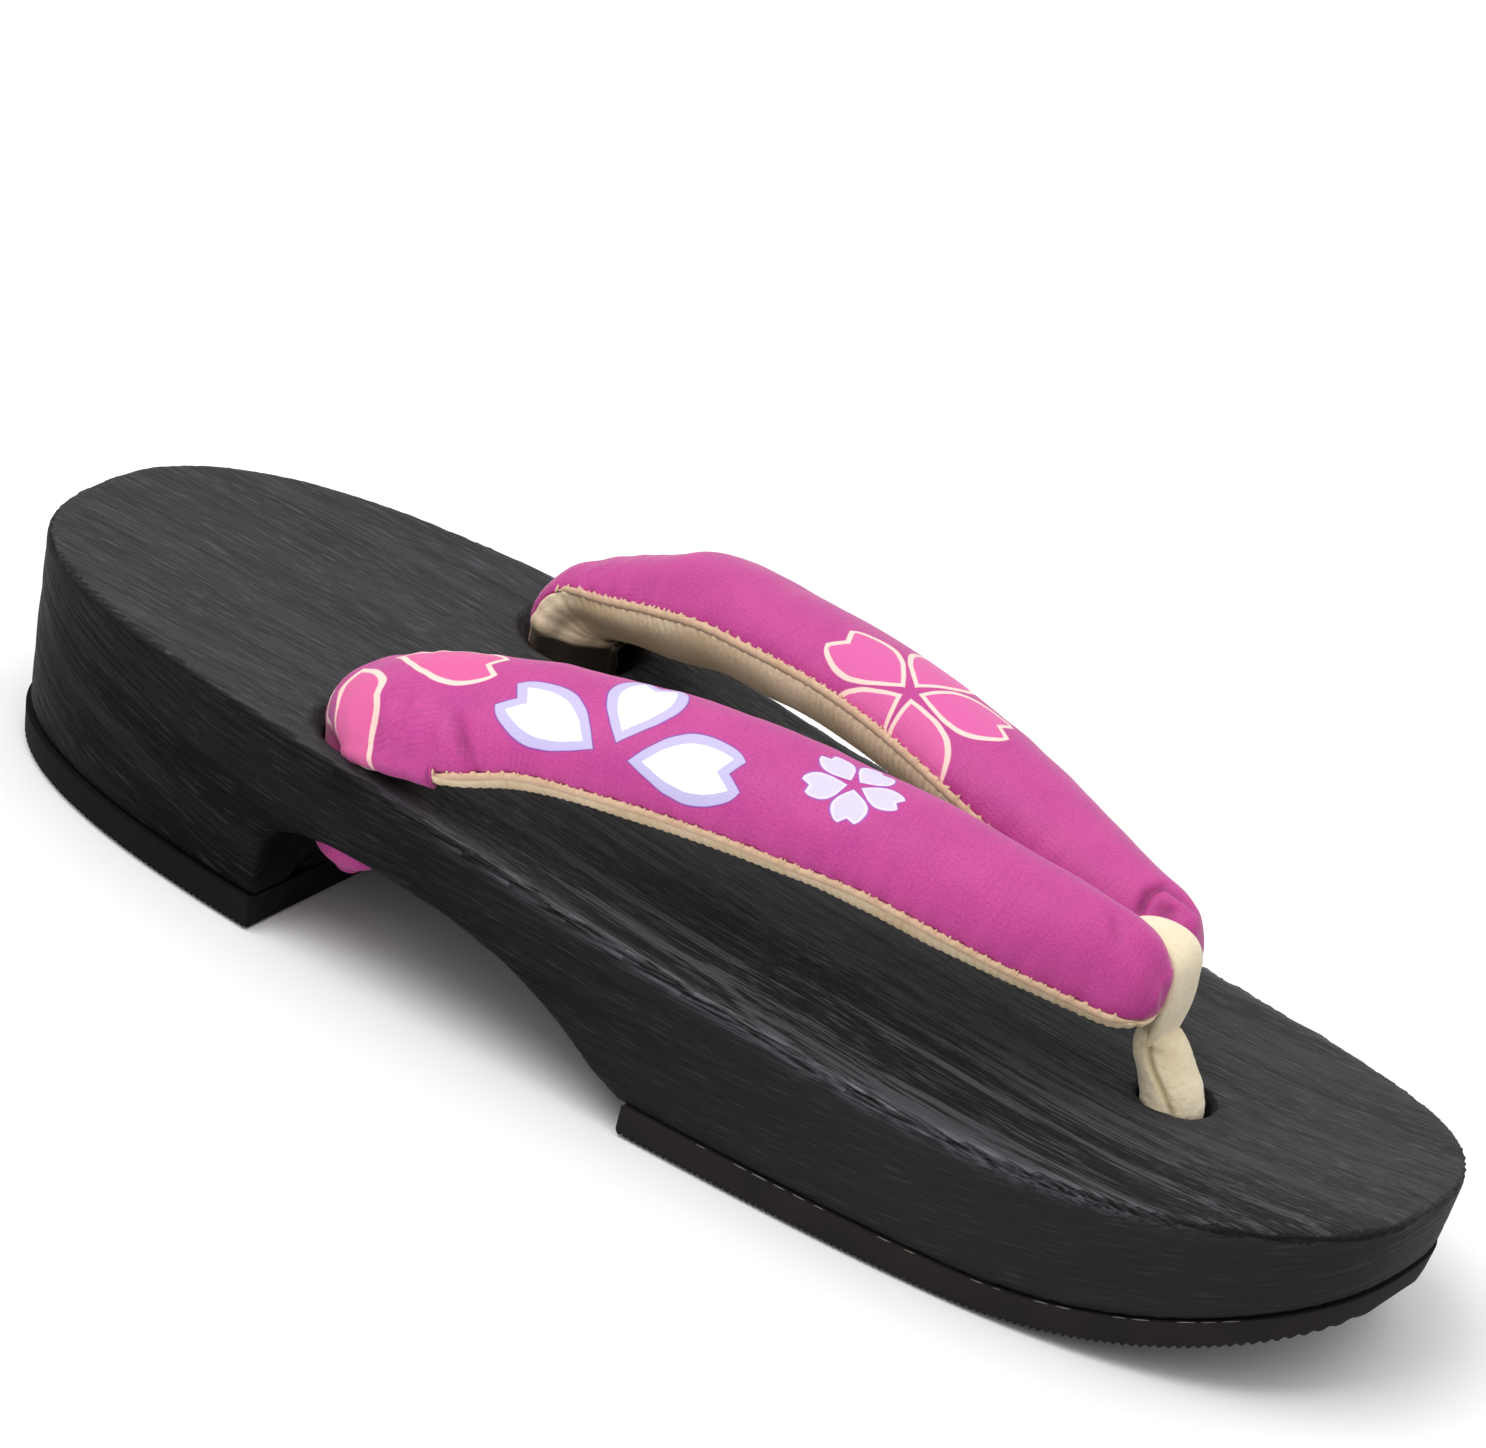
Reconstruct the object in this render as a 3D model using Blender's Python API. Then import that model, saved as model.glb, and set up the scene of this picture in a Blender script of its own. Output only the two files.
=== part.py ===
"""Geta sandal: a one-piece wooden deck on two rubber pads, with a padded thong strap and a toe post.

Metres, +Z up, +X to the toe, +Y to the wearer's left; the floor is z = 0 and x = 0 is half of the length.
"""
import math

import bmesh
import bpy
import numpy as np
from mathutils import Quaternion, Vector

MM = 0.001
CLEARANCE = 0.3 * MM  # between pieces that meet

# Deck, seen from above
LENGTH = 240.0 * MM
WIDTH = 85.2 * MM
SIDE_BOW = 3.0 * MM  # how much narrower than WIDTH the sides have become at the ends
END_SQUARENESS = 4.0
CORNER_ROUNDNESS = 2.65

# Deck, seen from the side
HEEL_HEIGHT = 33.4 * MM
BALL_HEIGHT = 24.5 * MM
TOE_HEIGHT = 28.7 * MM
HEEL_BLOCK_LENGTH = 63.4 * MM
FOREFOOT_START = 131.8 * MM  # from the heel end
ARCH_HEIGHT = 19.3 * MM
TOE_SPRING = 12.0 * MM
TOE_SPRING_LENGTH = 50.0 * MM
TOE_SPRING_POWER = 2.0

# Inward lean of the walls at the floor, which starts below the ball's height
REAR_LEAN = 5.0 * MM
TOE_LEAN = 4.0 * MM
SIDE_LEAN = 0.7 * MM
EDGE_RADIUS = 1.1 * MM

# Rubber pads
HEEL_PAD_THICKNESS = 4.6 * MM
FOREFOOT_PAD_THICKNESS = 4.6 * MM
HEEL_PAD_PROUD = 0.7 * MM
FOREFOOT_PAD_PROUD = 0.3 * MM
PAD_EDGE_RADIUS = 0.6 * MM
FOREFOOT_PAD_SETBACK = 1.5 * MM  # its rear end, in front of the end of the arch

# Holes
FRONT_HOLE_FROM_HEEL = 198.0 * MM
FRONT_HOLE_RADIUS = 5.5 * MM
KNOT_RECESS_RADIUS = 9.0 * MM
KNOT_RECESS_DEPTH = 7.0 * MM
REAR_HOLE_FROM_HEEL = 72.6 * MM
REAR_HOLE_SPREAD = 55.0 * MM  # centre to centre
REAR_HOLE_RADIUS = 8.0 * MM
FRONT_RIM_CHAMFER = 0.7 * MM
REAR_RIM_CHAMFER = 2.2 * MM

# Thong strap
STRAP_WIDTH = 23.4 * MM
STRAP_CROWN = 9.4 * MM  # from the seams' chord up
STRAP_DEPTH = 6.5 * MM  # from the seams' chord down
STRAP_RISE = 20.7 * MM  # of the seams' chord above the deck, where it is highest
STRAP_TAIL = 21.0 * MM  # below the deck's top at the rear hole
STRAP_BANK = math.radians(19.0)
STRAP_TURN = math.radians(38.0)  # of the lining towards the middle, at the rear hole
STRAP_TIP_BEHIND_POST = 6.0 * MM
COVER_WALL = 1.8 * MM
LINING_WALL = 1.2 * MM
LEAST_HOLLOW = 0.45  # of the section's half sizes, where it tapers
FULL_WRAP = math.radians(86.0)
FOLD_RADIUS = 3.2 * MM
FOLD_BEHIND_TIP = 4.5 * MM
FOLD_REACH = 1.4 * MM  # into each leg's wall

# Toe post
POST_RADIUS = 4.8 * MM
LOOP_WIDTH = 8.2 * MM
LOOP_THICKNESS = 2.2 * MM
KNOT_CLEARANCE = 0.8 * MM
POST_INTO_LOOP = 0.1  # share of the loop's height that the post's top reaches into its foot

OUTLINE_STEPS = 44
STATION_SPACING = 1.2 * MM  # the least
ARC_STEPS = 16

# Share of the length from the heel end, and what the heel's and the toe's rise above the ball add there
DECK_TOP = (
    # along, heel, toe
    (0.000, 0.955, 0.00),
    (0.125, 1.000, 0.00),
    (0.250, 0.935, 0.00),
    (0.375, 0.740, 0.00),
    (0.500, 0.440, 0.00),
    (0.625, 0.190, 0.00),
    (0.750, 0.020, 0.00),
    (0.875, 0.000, 0.26),
    (1.000, 0.000, 1.00),
)

# Share of the span between the two blocks, and of the rise from the deck's underside to the ceiling
ARCH = (
    # along, rise
    (0.000, 0.66),
    (0.030, 0.81),
    (0.090, 0.92),
    (0.170, 0.98),
    (0.310, 1.00),
    (0.475, 0.95),
    (0.565, 0.87),
    (0.655, 0.78),
    (0.746, 0.61),
    (0.837, 0.40),
    (0.927, 0.15),
    (1.000, 0.00),
)

# One leg of the strap from its end below the rear hole to its tip behind the toe post. along runs from the
# rear hole (0) to the tip (1), across is a share of the hole's distance from the middle, tail and rise are
# shares of STRAP_TAIL and STRAP_RISE from the deck's top, width, crown, depth, bank and turn are shares of the
# strap's own sizes, and wrap is how far round the cover closes under the strap.
STRAP = (
    # along, across, tail, rise, width, crown, depth, bank, turn, wrap
    (0.000, 1.000, 1.000, 0.00, 0.22, 0.22, 0.32, 0.00, 1.00, 1.00),
    (0.000, 1.000, 0.975, 0.00, 0.46, 0.44, 0.66, 0.00, 1.00, 1.00),
    (0.000, 1.000, 0.900, 0.00, 0.63, 0.62, 0.92, 0.00, 1.00, 1.00),
    (0.000, 1.000, 0.780, 0.00, 0.66, 0.65, 0.97, 0.00, 1.00, 1.00),
    (0.000, 1.000, 0.690, 0.00, 0.58, 0.68, 1.00, 0.00, 1.00, 1.00),
    (0.000, 1.000, 0.560, 0.00, 0.58, 0.72, 1.04, 0.00, 1.00, 0.94),
    (0.000, 1.000, 0.400, 0.00, 0.58, 0.73, 1.05, 0.00, 1.00, 0.45),
    (0.000, 1.000, 0.250, 0.00, 0.58, 0.73, 1.05, 0.00, 1.00, 0.00),
    (-0.002, 1.000, 0.100, 0.00, 0.58, 0.72, 1.00, 0.00, 1.00, 0.00),
    (-0.006, 1.010, 0.000, 0.08, 0.63, 0.84, 0.90, 0.15, 0.78, 0.00),
    (0.002, 1.045, 0.000, 0.20, 0.73, 0.90, 0.76, 0.36, 0.40, 0.00),
    (0.025, 1.088, 0.000, 0.31, 0.86, 0.88, 0.76, 0.62, 0.12, 0.00),
    (0.065, 1.122, 0.000, 0.41, 0.97, 0.90, 0.86, 0.88, 0.02, 0.00),
    (0.128, 1.106, 0.000, 0.52, 1.03, 0.93, 0.97, 1.00, 0.00, 0.00),
    (0.208, 1.019, 0.000, 0.71, 0.99, 0.95, 1.00, 0.86, 0.00, 0.00),
    (0.316, 0.916, 0.000, 0.86, 1.00, 0.98, 1.00, 0.84, 0.00, 0.00),
    (0.416, 0.821, 0.000, 0.96, 1.00, 0.99, 1.00, 0.84, 0.00, 0.00),
    (0.524, 0.705, 0.000, 1.00, 0.98, 1.00, 1.00, 0.80, 0.00, 0.00),
    (0.648, 0.570, 0.000, 0.98, 0.94, 1.00, 0.98, 0.64, 0.00, 0.00),
    (0.765, 0.466, 0.000, 0.90, 0.88, 1.00, 0.92, 0.58, 0.00, 0.00),
    (0.856, 0.383, 0.000, 0.81, 0.77, 1.00, 0.80, 0.54, 0.00, 0.00),
    (0.923, 0.320, 0.000, 0.72, 0.61, 0.97, 0.66, 0.44, 0.00, 0.00),
    (0.964, 0.279, 0.000, 0.67, 0.50, 0.86, 0.56, 0.34, 0.00, 0.00),
    (0.990, 0.256, 0.000, 0.65, 0.39, 0.68, 0.44, 0.24, 0.00, 0.00),
    (1.000, 0.245, 0.000, 0.64, 0.23, 0.40, 0.28, 0.14, 0.00, 0.00),
)
LINING_STARTS = 7  # rows of STRAP below the lining's end
FOLD_ROW = -3  # row of STRAP beside the fold

# The post from its knot up to the waist under the strap: share of the way up, offset back from the hole as a
# share of the waist's offset, and radius as a share of POST_RADIUS
POST = (
    # up, back, radius
    (0.00, 0.00, 0.96),
    (0.30, 0.00, 0.98),
    (0.56, 0.00, 1.00),
    (0.66, 0.07, 1.01),
    (0.75, 0.28, 1.01),
    (0.84, 0.58, 0.96),
    (0.92, 0.82, 0.88),
    (1.00, 1.00, 0.80),
)

# The loop's middle line around the fold, from the post's waist up the front, over the top and down behind, then
# forward again under the fold: shares of its distance from the fold's middle, and of its front width
LOOP_OVER = (
    # forward, up, width
    (0.86, -1.95, 0.86),
    (0.95, -1.50, 0.90),
    (1.00, -0.90, 0.96),
    (1.00, -0.10, 1.00),
    (0.94, 0.52, 1.00),
    (0.66, 0.94, 1.00),
    (0.16, 1.06, 0.96),
    (-0.36, 1.02, 0.80),
    (-0.74, 0.74, 0.48),
    (-0.88, 0.20, 0.34),
    (-0.86, -0.42, 0.34),
    (-0.70, -0.90, 0.34),
)
LOOP_UNDER = (
    # forward, up, width
    (-0.76, -0.86, 0.30),
    (-0.30, -1.04, 0.32),
    (0.30, -1.06, 0.34),
    (0.96, -1.10, 0.34),
)

HEEL_END = -LENGTH / 2
HALF_WIDTH = WIDTH / 2
HEEL_UNDERSIDE = HEEL_PAD_THICKNESS + CLEARANCE
FOREFOOT_UNDERSIDE = FOREFOOT_PAD_THICKNESS + CLEARANCE
HEEL_BLOCK_FRONT = HEEL_END + HEEL_BLOCK_LENGTH
FOREFOOT_REAR = HEEL_END + FOREFOOT_START
SPRING_START = -HEEL_END - TOE_SPRING_LENGTH
FRONT_HOLE_X = HEEL_END + FRONT_HOLE_FROM_HEEL
REAR_HOLE_X = HEEL_END + REAR_HOLE_FROM_HEEL
REAR_HOLE_Y = REAR_HOLE_SPREAD / 2
STRAP_TIP_X = FRONT_HOLE_X - STRAP_TIP_BEHIND_POST
LOOP_AHEAD = FOLD_BEHIND_TIP + CLEARANCE + LOOP_THICKNESS / 2  # from the fold's middle to the band's
LOOP_ABOVE = FOLD_RADIUS + CLEARANCE + LOOP_THICKNESS / 2
POST_TOP_BELOW_FOLD = -(LOOP_OVER[0][1] + POST_INTO_LOOP) * LOOP_ABOVE
BLOCK_FACE_SLOPE = 0.4 * MM  # run of the heel block's front face
CUT_MARGIN = 3.0 * MM


def column(table, index):
    """One column of a table, as an array."""
    return np.array([row[index] for row in table], dtype=float)


def smooth(xs, ys, x):
    """A value of the smooth curve through (xs, ys), by Hermite pieces with limited slopes."""
    xs = np.asarray(xs, dtype=float)
    ys = np.asarray(ys, dtype=float)
    steps = np.diff(xs)
    slopes = np.diff(ys) / steps
    ends = np.concatenate([slopes[:1], (slopes[1:] + slopes[:-1]) / 2, slopes[-1:]])
    i = int(np.clip(np.searchsorted(xs, x) - 1, 0, len(steps) - 1))
    t = min(max((x - xs[i]) / steps[i], 0.0), 1.0)
    rise = (2 * t**3 - 3 * t**2 + 1) * ys[i] + (3 * t**2 - 2 * t**3) * ys[i + 1]
    bend = (t**3 - 2 * t**2 + t) * ends[i] + (t**3 - t**2) * ends[i + 1]
    return float(rise + bend * steps[i])


def deck_top(x):
    """Height of the deck's upper face at x."""
    along = (x - HEEL_END) / LENGTH
    heel = smooth(column(DECK_TOP, 0), column(DECK_TOP, 1), along)
    toe = smooth(column(DECK_TOP, 0), column(DECK_TOP, 2), along)
    return BALL_HEIGHT + heel * (HEEL_HEIGHT - BALL_HEIGHT) + toe * (TOE_HEIGHT - BALL_HEIGHT)


def spring(x):
    """Height of the toe spring at x."""
    share = max(0.0, (x - SPRING_START) / TOE_SPRING_LENGTH)
    return TOE_SPRING * share**TOE_SPRING_POWER


def deck_underside(x):
    """Height of the deck's lower face at x: heel block, arch, then forefoot block."""
    if x <= HEEL_BLOCK_FRONT:
        return HEEL_UNDERSIDE
    if x >= FOREFOOT_REAR:
        return FOREFOOT_UNDERSIDE + spring(x)
    along = (x - HEEL_BLOCK_FRONT) / (FOREFOOT_REAR - HEEL_BLOCK_FRONT)
    rise = float(np.interp(along, column(ARCH, 0), column(ARCH, 1)))
    return FOREFOOT_UNDERSIDE + rise * (ARCH_HEIGHT - FOREFOOT_UNDERSIDE)


def half_width(x):
    """Half of the deck's width at x, seen from above."""
    share = min(1.0, abs(x) / (LENGTH / 2))
    round_end = max(0.0, 1.0 - share**END_SQUARENESS) ** (1 / CORNER_ROUNDNESS)
    return (HALF_WIDTH - SIDE_BOW * share**2) * round_end


def outline_stations(start, end, extra=()):
    """Places along x for the outline, close together where the ends turn."""
    angles = np.linspace(math.pi, 0.0, OUTLINE_STEPS)
    turned = np.sign(np.cos(angles)) * np.abs(np.cos(angles)) ** (2 / END_SQUARENESS)
    stations = [start, end, *extra]
    for x in turned * LENGTH / 2:
        apart = [math.hypot(x - other, half_width(x) - half_width(other)) for other in stations]
        if start < x < end and min(apart) > STATION_SPACING:
            stations.append(float(x))
    return sorted(set(stations))


def lean(x, y, z):
    """The point of the wall at height z that stands below the top outline's point (x, y)."""
    share = min(1.0, max(0.0, 1.0 - z / BALL_HEIGHT))
    toward_heel = (LENGTH / 2 - x) / LENGTH
    forward = REAR_LEAN * toward_heel - TOE_LEAN * (1.0 - toward_heel)
    return (x + share * forward, y * (1.0 - share * SIDE_LEAN / HALF_WIDTH), z)


def outward(x, side):
    """The outline's outward direction at x, seen from above."""
    step = 0.05 * MM
    if half_width(x) < step:
        return (math.copysign(1.0, x), 0.0)
    low = max(x - step, HEEL_END)
    high = min(x + step, -HEEL_END)
    slope = (half_width(high) - half_width(low)) / (high - low)
    size = math.hypot(slope, 1.0)
    return (-slope / size, side / size)


def link(name, mesh, collection, color, roughness):
    """An object with its own plain material, shaded smooth but for its edges."""
    material = bpy.data.materials.new(name + "_material")
    material.use_nodes = True
    shader = material.node_tree.nodes["Principled BSDF"]
    shader.inputs["Base Color"].default_value = (*color, 1.0)
    shader.inputs["Roughness"].default_value = roughness
    shader.inputs["Metallic"].default_value = 0.0
    mesh.materials.clear()
    mesh.materials.append(material)
    mesh.shade_smooth()
    mesh.set_sharp_from_angle(angle=math.radians(35))
    item = bpy.data.objects.new(name, mesh)
    collection.objects.link(item)
    return item


def new_mesh(name, vertices, faces):
    """A mesh of these faces, with outward normals."""
    mesh = bpy.data.meshes.new(name)
    mesh.from_pydata([tuple(v) for v in vertices], [], faces)
    work = bmesh.new()
    work.from_mesh(mesh)
    bmesh.ops.remove_doubles(work, verts=work.verts, dist=0.01 * MM)
    bmesh.ops.recalc_face_normals(work, faces=work.faces)
    work.to_mesh(mesh)
    work.free()
    return mesh


def plank(name, stations, top, underside, proud, radius):
    """A block with the deck's outline between two x, whose upper and lower faces follow two functions.

    Each level is one ring around the block: two rounded edges, and a straight wall between them.
    """
    turns = [math.radians(a) for a in (90, 60, 30, 0)]
    levels = [(1.0 - math.cos(a), 1.0 - math.sin(a), True) for a in turns]
    levels += [(1.0 - math.cos(a), 1.0 - math.sin(a), False) for a in (turns[3], turns[1], turns[0])]
    ring = [(x, 1) for x in stations]
    ring += [(x, -1) for x in reversed(stations) if half_width(x) > 0.01 * MM]
    vertices = []
    for inset, drop, upper in levels:
        for x, side in ring:
            z = top(x) - drop * radius if upper else underside(x) + drop * radius
            nx, ny = outward(x, side)
            offset = proud - inset * radius
            flat_end = x in (stations[0], stations[-1]) and half_width(x) > 0.01 * MM
            if flat_end:
                ends = -1.0 if x == stations[0] else 1.0
                px = x - ends * inset * radius
                vertices.append(lean(px, side * half_width(x) + ny * offset, z))
            else:
                vertices.append(lean(x + nx * offset, side * half_width(x) + ny * offset, z))
    count = len(ring)
    faces = []
    for level in range(len(levels) - 1):
        for i in range(count):
            j = (i + 1) % count
            low = level * count
            faces.append((low + i, low + j, low + count + j, low + count + i))
    last = len(stations) - 1
    partner = {i: count - i - (0 if half_width(stations[0]) < 0.01 * MM else 1) for i in range(last + 1)}
    for base in (0, (len(levels) - 1) * count):
        for i in range(last):
            corners = [i, i + 1, partner[i + 1] % count, partner[i] % count]
            unique = list(dict.fromkeys(corners))
            faces.append(tuple(base + c for c in unique))
    return new_mesh(name, vertices, faces)


def cylinder_cutter(name, collection, center, radius, low, high, top_radius=None):
    """A round cutter, or a cone where top_radius is given."""
    mesh = bpy.data.meshes.new(name)
    work = bmesh.new()
    bmesh.ops.create_cone(
        work,
        cap_ends=True,
        segments=40,
        radius1=radius,
        radius2=radius if top_radius is None else top_radius,
        depth=high - low,
    )
    work.to_mesh(mesh)
    work.free()
    cutter = bpy.data.objects.new(name, mesh)
    cutter.location = (center[0], center[1], (low + high) / 2)
    cutter.hide_render = True
    cutter.display_type = "WIRE"
    collection.objects.link(cutter)
    return cutter


def combine(item, other, operation):
    """A Boolean modifier on item."""
    boolean = item.modifiers.new(operation.lower() + "_" + other.name, "BOOLEAN")
    boolean.operation = operation
    boolean.object = other
    boolean.solver = "EXACT"


def wooden_deck(parts, cutters):
    """The deck with its two blocks, the front hole with the knot's recess, and the rear holes."""
    arch_span = FOREFOOT_REAR - HEEL_BLOCK_FRONT
    arch_stations = [HEEL_BLOCK_FRONT + share * arch_span for share in column(ARCH, 0)[1:]]
    extra = [HEEL_BLOCK_FRONT, HEEL_BLOCK_FRONT + BLOCK_FACE_SLOPE, SPRING_START, *arch_stations]
    stations = outline_stations(HEEL_END, -HEEL_END, extra)
    deck = link(
        "wooden_deck",
        plank("wooden_deck", stations, deck_top, deck_underside, 0.0, EDGE_RADIUS),
        parts,
        (0.030, 0.031, 0.033),
        0.62,
    )
    tall = HEEL_HEIGHT + CUT_MARGIN
    holes = [("front", FRONT_HOLE_X, 0.0, FRONT_HOLE_RADIUS, FRONT_RIM_CHAMFER)]
    holes += [("rear_left", REAR_HOLE_X, REAR_HOLE_Y, REAR_HOLE_RADIUS, REAR_RIM_CHAMFER)]
    holes += [("rear_right", REAR_HOLE_X, -REAR_HOLE_Y, REAR_HOLE_RADIUS, REAR_RIM_CHAMFER)]
    for name, x, y, radius, chamfer_size in holes:
        hole = cylinder_cutter(name + "_hole_cutter", cutters, (x, y), radius, -CUT_MARGIN, tall)
        combine(deck, hole, "DIFFERENCE")
        rim = deck_top(x)
        slope = chamfer_size + CUT_MARGIN
        chamfer = cylinder_cutter(
            name + "_rim_cutter",
            cutters,
            (x, y),
            radius,
            rim - chamfer_size,
            rim + CUT_MARGIN,
            radius + slope,
        )
        combine(deck, chamfer, "DIFFERENCE")
    recess_top = deck_underside(FRONT_HOLE_X) + KNOT_RECESS_DEPTH
    recess = cylinder_cutter(
        "knot_recess_cutter", cutters, (FRONT_HOLE_X, 0.0), KNOT_RECESS_RADIUS, -CUT_MARGIN, recess_top
    )
    combine(deck, recess, "DIFFERENCE")
    return deck


def rubber_pads(parts):
    """The two rubber pads that the deck stands on."""
    heel = plank(
        "heel_rubber_sole",
        outline_stations(HEEL_END, HEEL_BLOCK_FRONT),
        lambda x: HEEL_PAD_THICKNESS,
        lambda x: 0.0,
        HEEL_PAD_PROUD,
        PAD_EDGE_RADIUS,
    )
    fore = plank(
        "forefoot_rubber_sole",
        outline_stations(FOREFOOT_REAR + FOREFOOT_PAD_SETBACK, -HEEL_END, [SPRING_START]),
        lambda x: deck_underside(x) - CLEARANCE,
        spring,
        FOREFOOT_PAD_PROUD,
        PAD_EDGE_RADIUS,
    )
    color = (0.022, 0.017, 0.015)
    link("heel_rubber_sole", heel, parts, color, 0.85)
    link("forefoot_rubber_sole", fore, parts, color, 0.85)


def strap_stations():
    """Middle points, section axes and sizes along the left leg, from its lower end to its tip."""
    sizes = []
    points = []
    for along, across, tail, rise, width, crown, depth, bank, turn, wrap in STRAP:
        x = REAR_HOLE_X + along * (STRAP_TIP_X - REAR_HOLE_X)
        z = deck_top(x if tail == 0 else REAR_HOLE_X) + rise * STRAP_RISE - tail * STRAP_TAIL
        points.append(Vector((x, across * REAR_HOLE_Y, z)))
        sizes.append((width * STRAP_WIDTH / 2, crown * STRAP_CROWN, depth * STRAP_DEPTH, bank, turn, wrap))
    heading = (points[-1] - points[-6]).normalized()
    side = Vector((-heading.y, heading.x, 0.0)).normalized()
    frames = []
    for i, point in enumerate(points):
        before = points[max(i - 1, 0)]
        after = points[min(i + 1, len(points) - 1)]
        tangent = (after - before).normalized()
        half, crown, depth, bank, turn, wrap = sizes[i]
        drop = Vector((0.0, 0.0, math.tan(bank * STRAP_BANK)))
        across = side - drop
        across = (across - across.dot(tangent) * tangent).normalized()
        across = Quaternion(tangent, -turn * STRAP_TURN) @ across
        up = tangent.cross(across)
        frames.append((point, across, up, half, crown, depth, wrap))
    return frames


def arc_band(frames, first, last, wall):
    """Faces of a band with a wall, whose section at each frame is an arc from first to last degrees.

    first and last are functions of the frame. Angle 0 is the outer seam, 90 the crown, 180 the inner seam.
    """
    vertices = []
    for frame in frames:
        point, across, up, half, crown, depth, wrap = frame
        angles = np.linspace(first(frame), last(frame), ARC_STEPS)
        for inner in (False, True):
            for angle in angles[::-1] if inner else angles:
                rise = crown if math.sin(angle) >= 0 else depth
                thick = wall if inner else 0.0
                a = max(half - thick, LEAST_HOLLOW * half)
                b = max(rise - thick, LEAST_HOLLOW * rise)
                vertices.append(point + a * math.cos(angle) * across + b * math.sin(angle) * up)
    count = 2 * ARC_STEPS
    faces = []
    for row in range(len(frames) - 1):
        for i in range(count):
            j = (i + 1) % count
            low = row * count
            faces.append((low + i, low + j, low + count + j, low + count + i))
    for base in (0, (len(frames) - 1) * count):
        for i in range(ARC_STEPS - 1):
            faces.append((base + i, base + i + 1, base + count - 2 - i, base + count - 1 - i))
    return vertices, faces


def mirrored(vertices):
    """The same points on the other side of the middle."""
    return [Vector((v.x, -v.y, v.z)) for v in vertices]


def fold_center(frames):
    """Middle of the fold that joins the two legs just above their seams, inside the toe post's loop."""
    point, across, _up, half, _crown, _depth, _wrap = frames[FOLD_ROW]
    inner_seam = point - half * across
    return Vector((STRAP_TIP_X - FOLD_BEHIND_TIP, 0.0, inner_seam.z + CLEARANCE + FOLD_RADIUS))


def strap_cover(parts, cutters):
    """The hollow cover of both legs, joined by the fold behind the toe post."""
    frames = strap_stations()

    def first(frame):
        return 0.5 * CLEARANCE / frame[4] - frame[6] * FULL_WRAP

    def last(frame):
        return math.pi - first(frame)

    vertices, faces = arc_band(frames, first, last, COVER_WALL)
    left = link("strap_cover", new_mesh("strap_cover", vertices, faces), parts, (0.48, 0.05, 0.24), 0.55)
    right_mesh = new_mesh("strap_cover_right", mirrored(vertices), faces)
    right = bpy.data.objects.new("right_leg", right_mesh)
    center = fold_center(frames)
    inner_edge = frames[FOLD_ROW][0].y - frames[FOLD_ROW][3]
    fold_length = inner_edge + FOLD_REACH
    fold_mesh = bpy.data.meshes.new("fold")
    work = bmesh.new()
    bmesh.ops.create_cone(
        work, cap_ends=True, segments=20, radius1=FOLD_RADIUS, radius2=FOLD_RADIUS, depth=2 * fold_length
    )
    work.to_mesh(fold_mesh)
    work.free()
    fold = bpy.data.objects.new("fold", fold_mesh)
    fold.location = center
    fold.rotation_euler = (math.radians(90), 0.0, 0.0)
    for piece in (right, fold):
        piece.hide_render = True
        piece.display_type = "WIRE"
        cutters.objects.link(piece)
    combine(left, fold, "UNION")
    combine(left, right, "UNION")
    return left


def strap_linings(parts):
    """The lining of each leg, which closes the cover underneath."""
    frames = strap_stations()[LINING_STARTS:]

    def first(frame):
        return math.pi + 0.5 * CLEARANCE / frame[5]

    def last(frame):
        return 2 * math.pi - 0.5 * CLEARANCE / frame[5]

    vertices, faces = arc_band(frames, first, last, LINING_WALL)
    color = (0.46, 0.34, 0.17)
    link("strap_lining_left", new_mesh("strap_lining_left", vertices, faces), parts, color, 0.9)
    link("strap_lining_right", new_mesh("strap_lining_right", mirrored(vertices), faces), parts, color, 0.9)


def tube(centers, normals, halves, thicks, power, steps=16):
    """Closed loft of rounded flat sections; halves run across Y and thicks along the normals."""
    vertices = []
    for center, normal, half, thick in zip(centers, normals, halves, thicks):
        for k in range(steps):
            angle = 2 * math.pi * k / steps
            c = math.copysign(abs(math.cos(angle)) ** (2 / power), math.cos(angle))
            s = math.copysign(abs(math.sin(angle)) ** (2 / power), math.sin(angle))
            vertices.append(center + half * c * Vector((0.0, 1.0, 0.0)) + thick * s * normal)
    faces = []
    for row in range(len(centers) - 1):
        for k in range(steps):
            m = (k + 1) % steps
            low = row * steps
            faces.append((low + k, low + m, low + steps + m, low + steps + k))
    faces.append(tuple(range(steps)))
    faces.append(tuple((len(centers) - 1) * steps + k for k in range(steps)))
    return vertices, faces


def loop_band(name, table, center):
    """One stretch of the loop's flat band, along the middle line that the table gives."""
    middles = []
    halves = []
    for ahead, up, width in table:
        middles.append(center + Vector((ahead * LOOP_AHEAD, 0.0, up * LOOP_ABOVE)))
        halves.append(width * LOOP_WIDTH / 2)
    normals = []
    for i in range(len(middles)):
        before = middles[max(i - 1, 0)]
        after = middles[min(i + 1, len(middles) - 1)]
        tangent = (after - before).normalized()
        normals.append(Vector((tangent.z, 0.0, -tangent.x)))
    thicks = [LOOP_THICKNESS / 2] * len(middles)
    vertices, faces = tube(middles, normals, halves, thicks, 2.6)
    return bpy.data.objects.new(name, new_mesh(name, vertices, faces))


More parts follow.
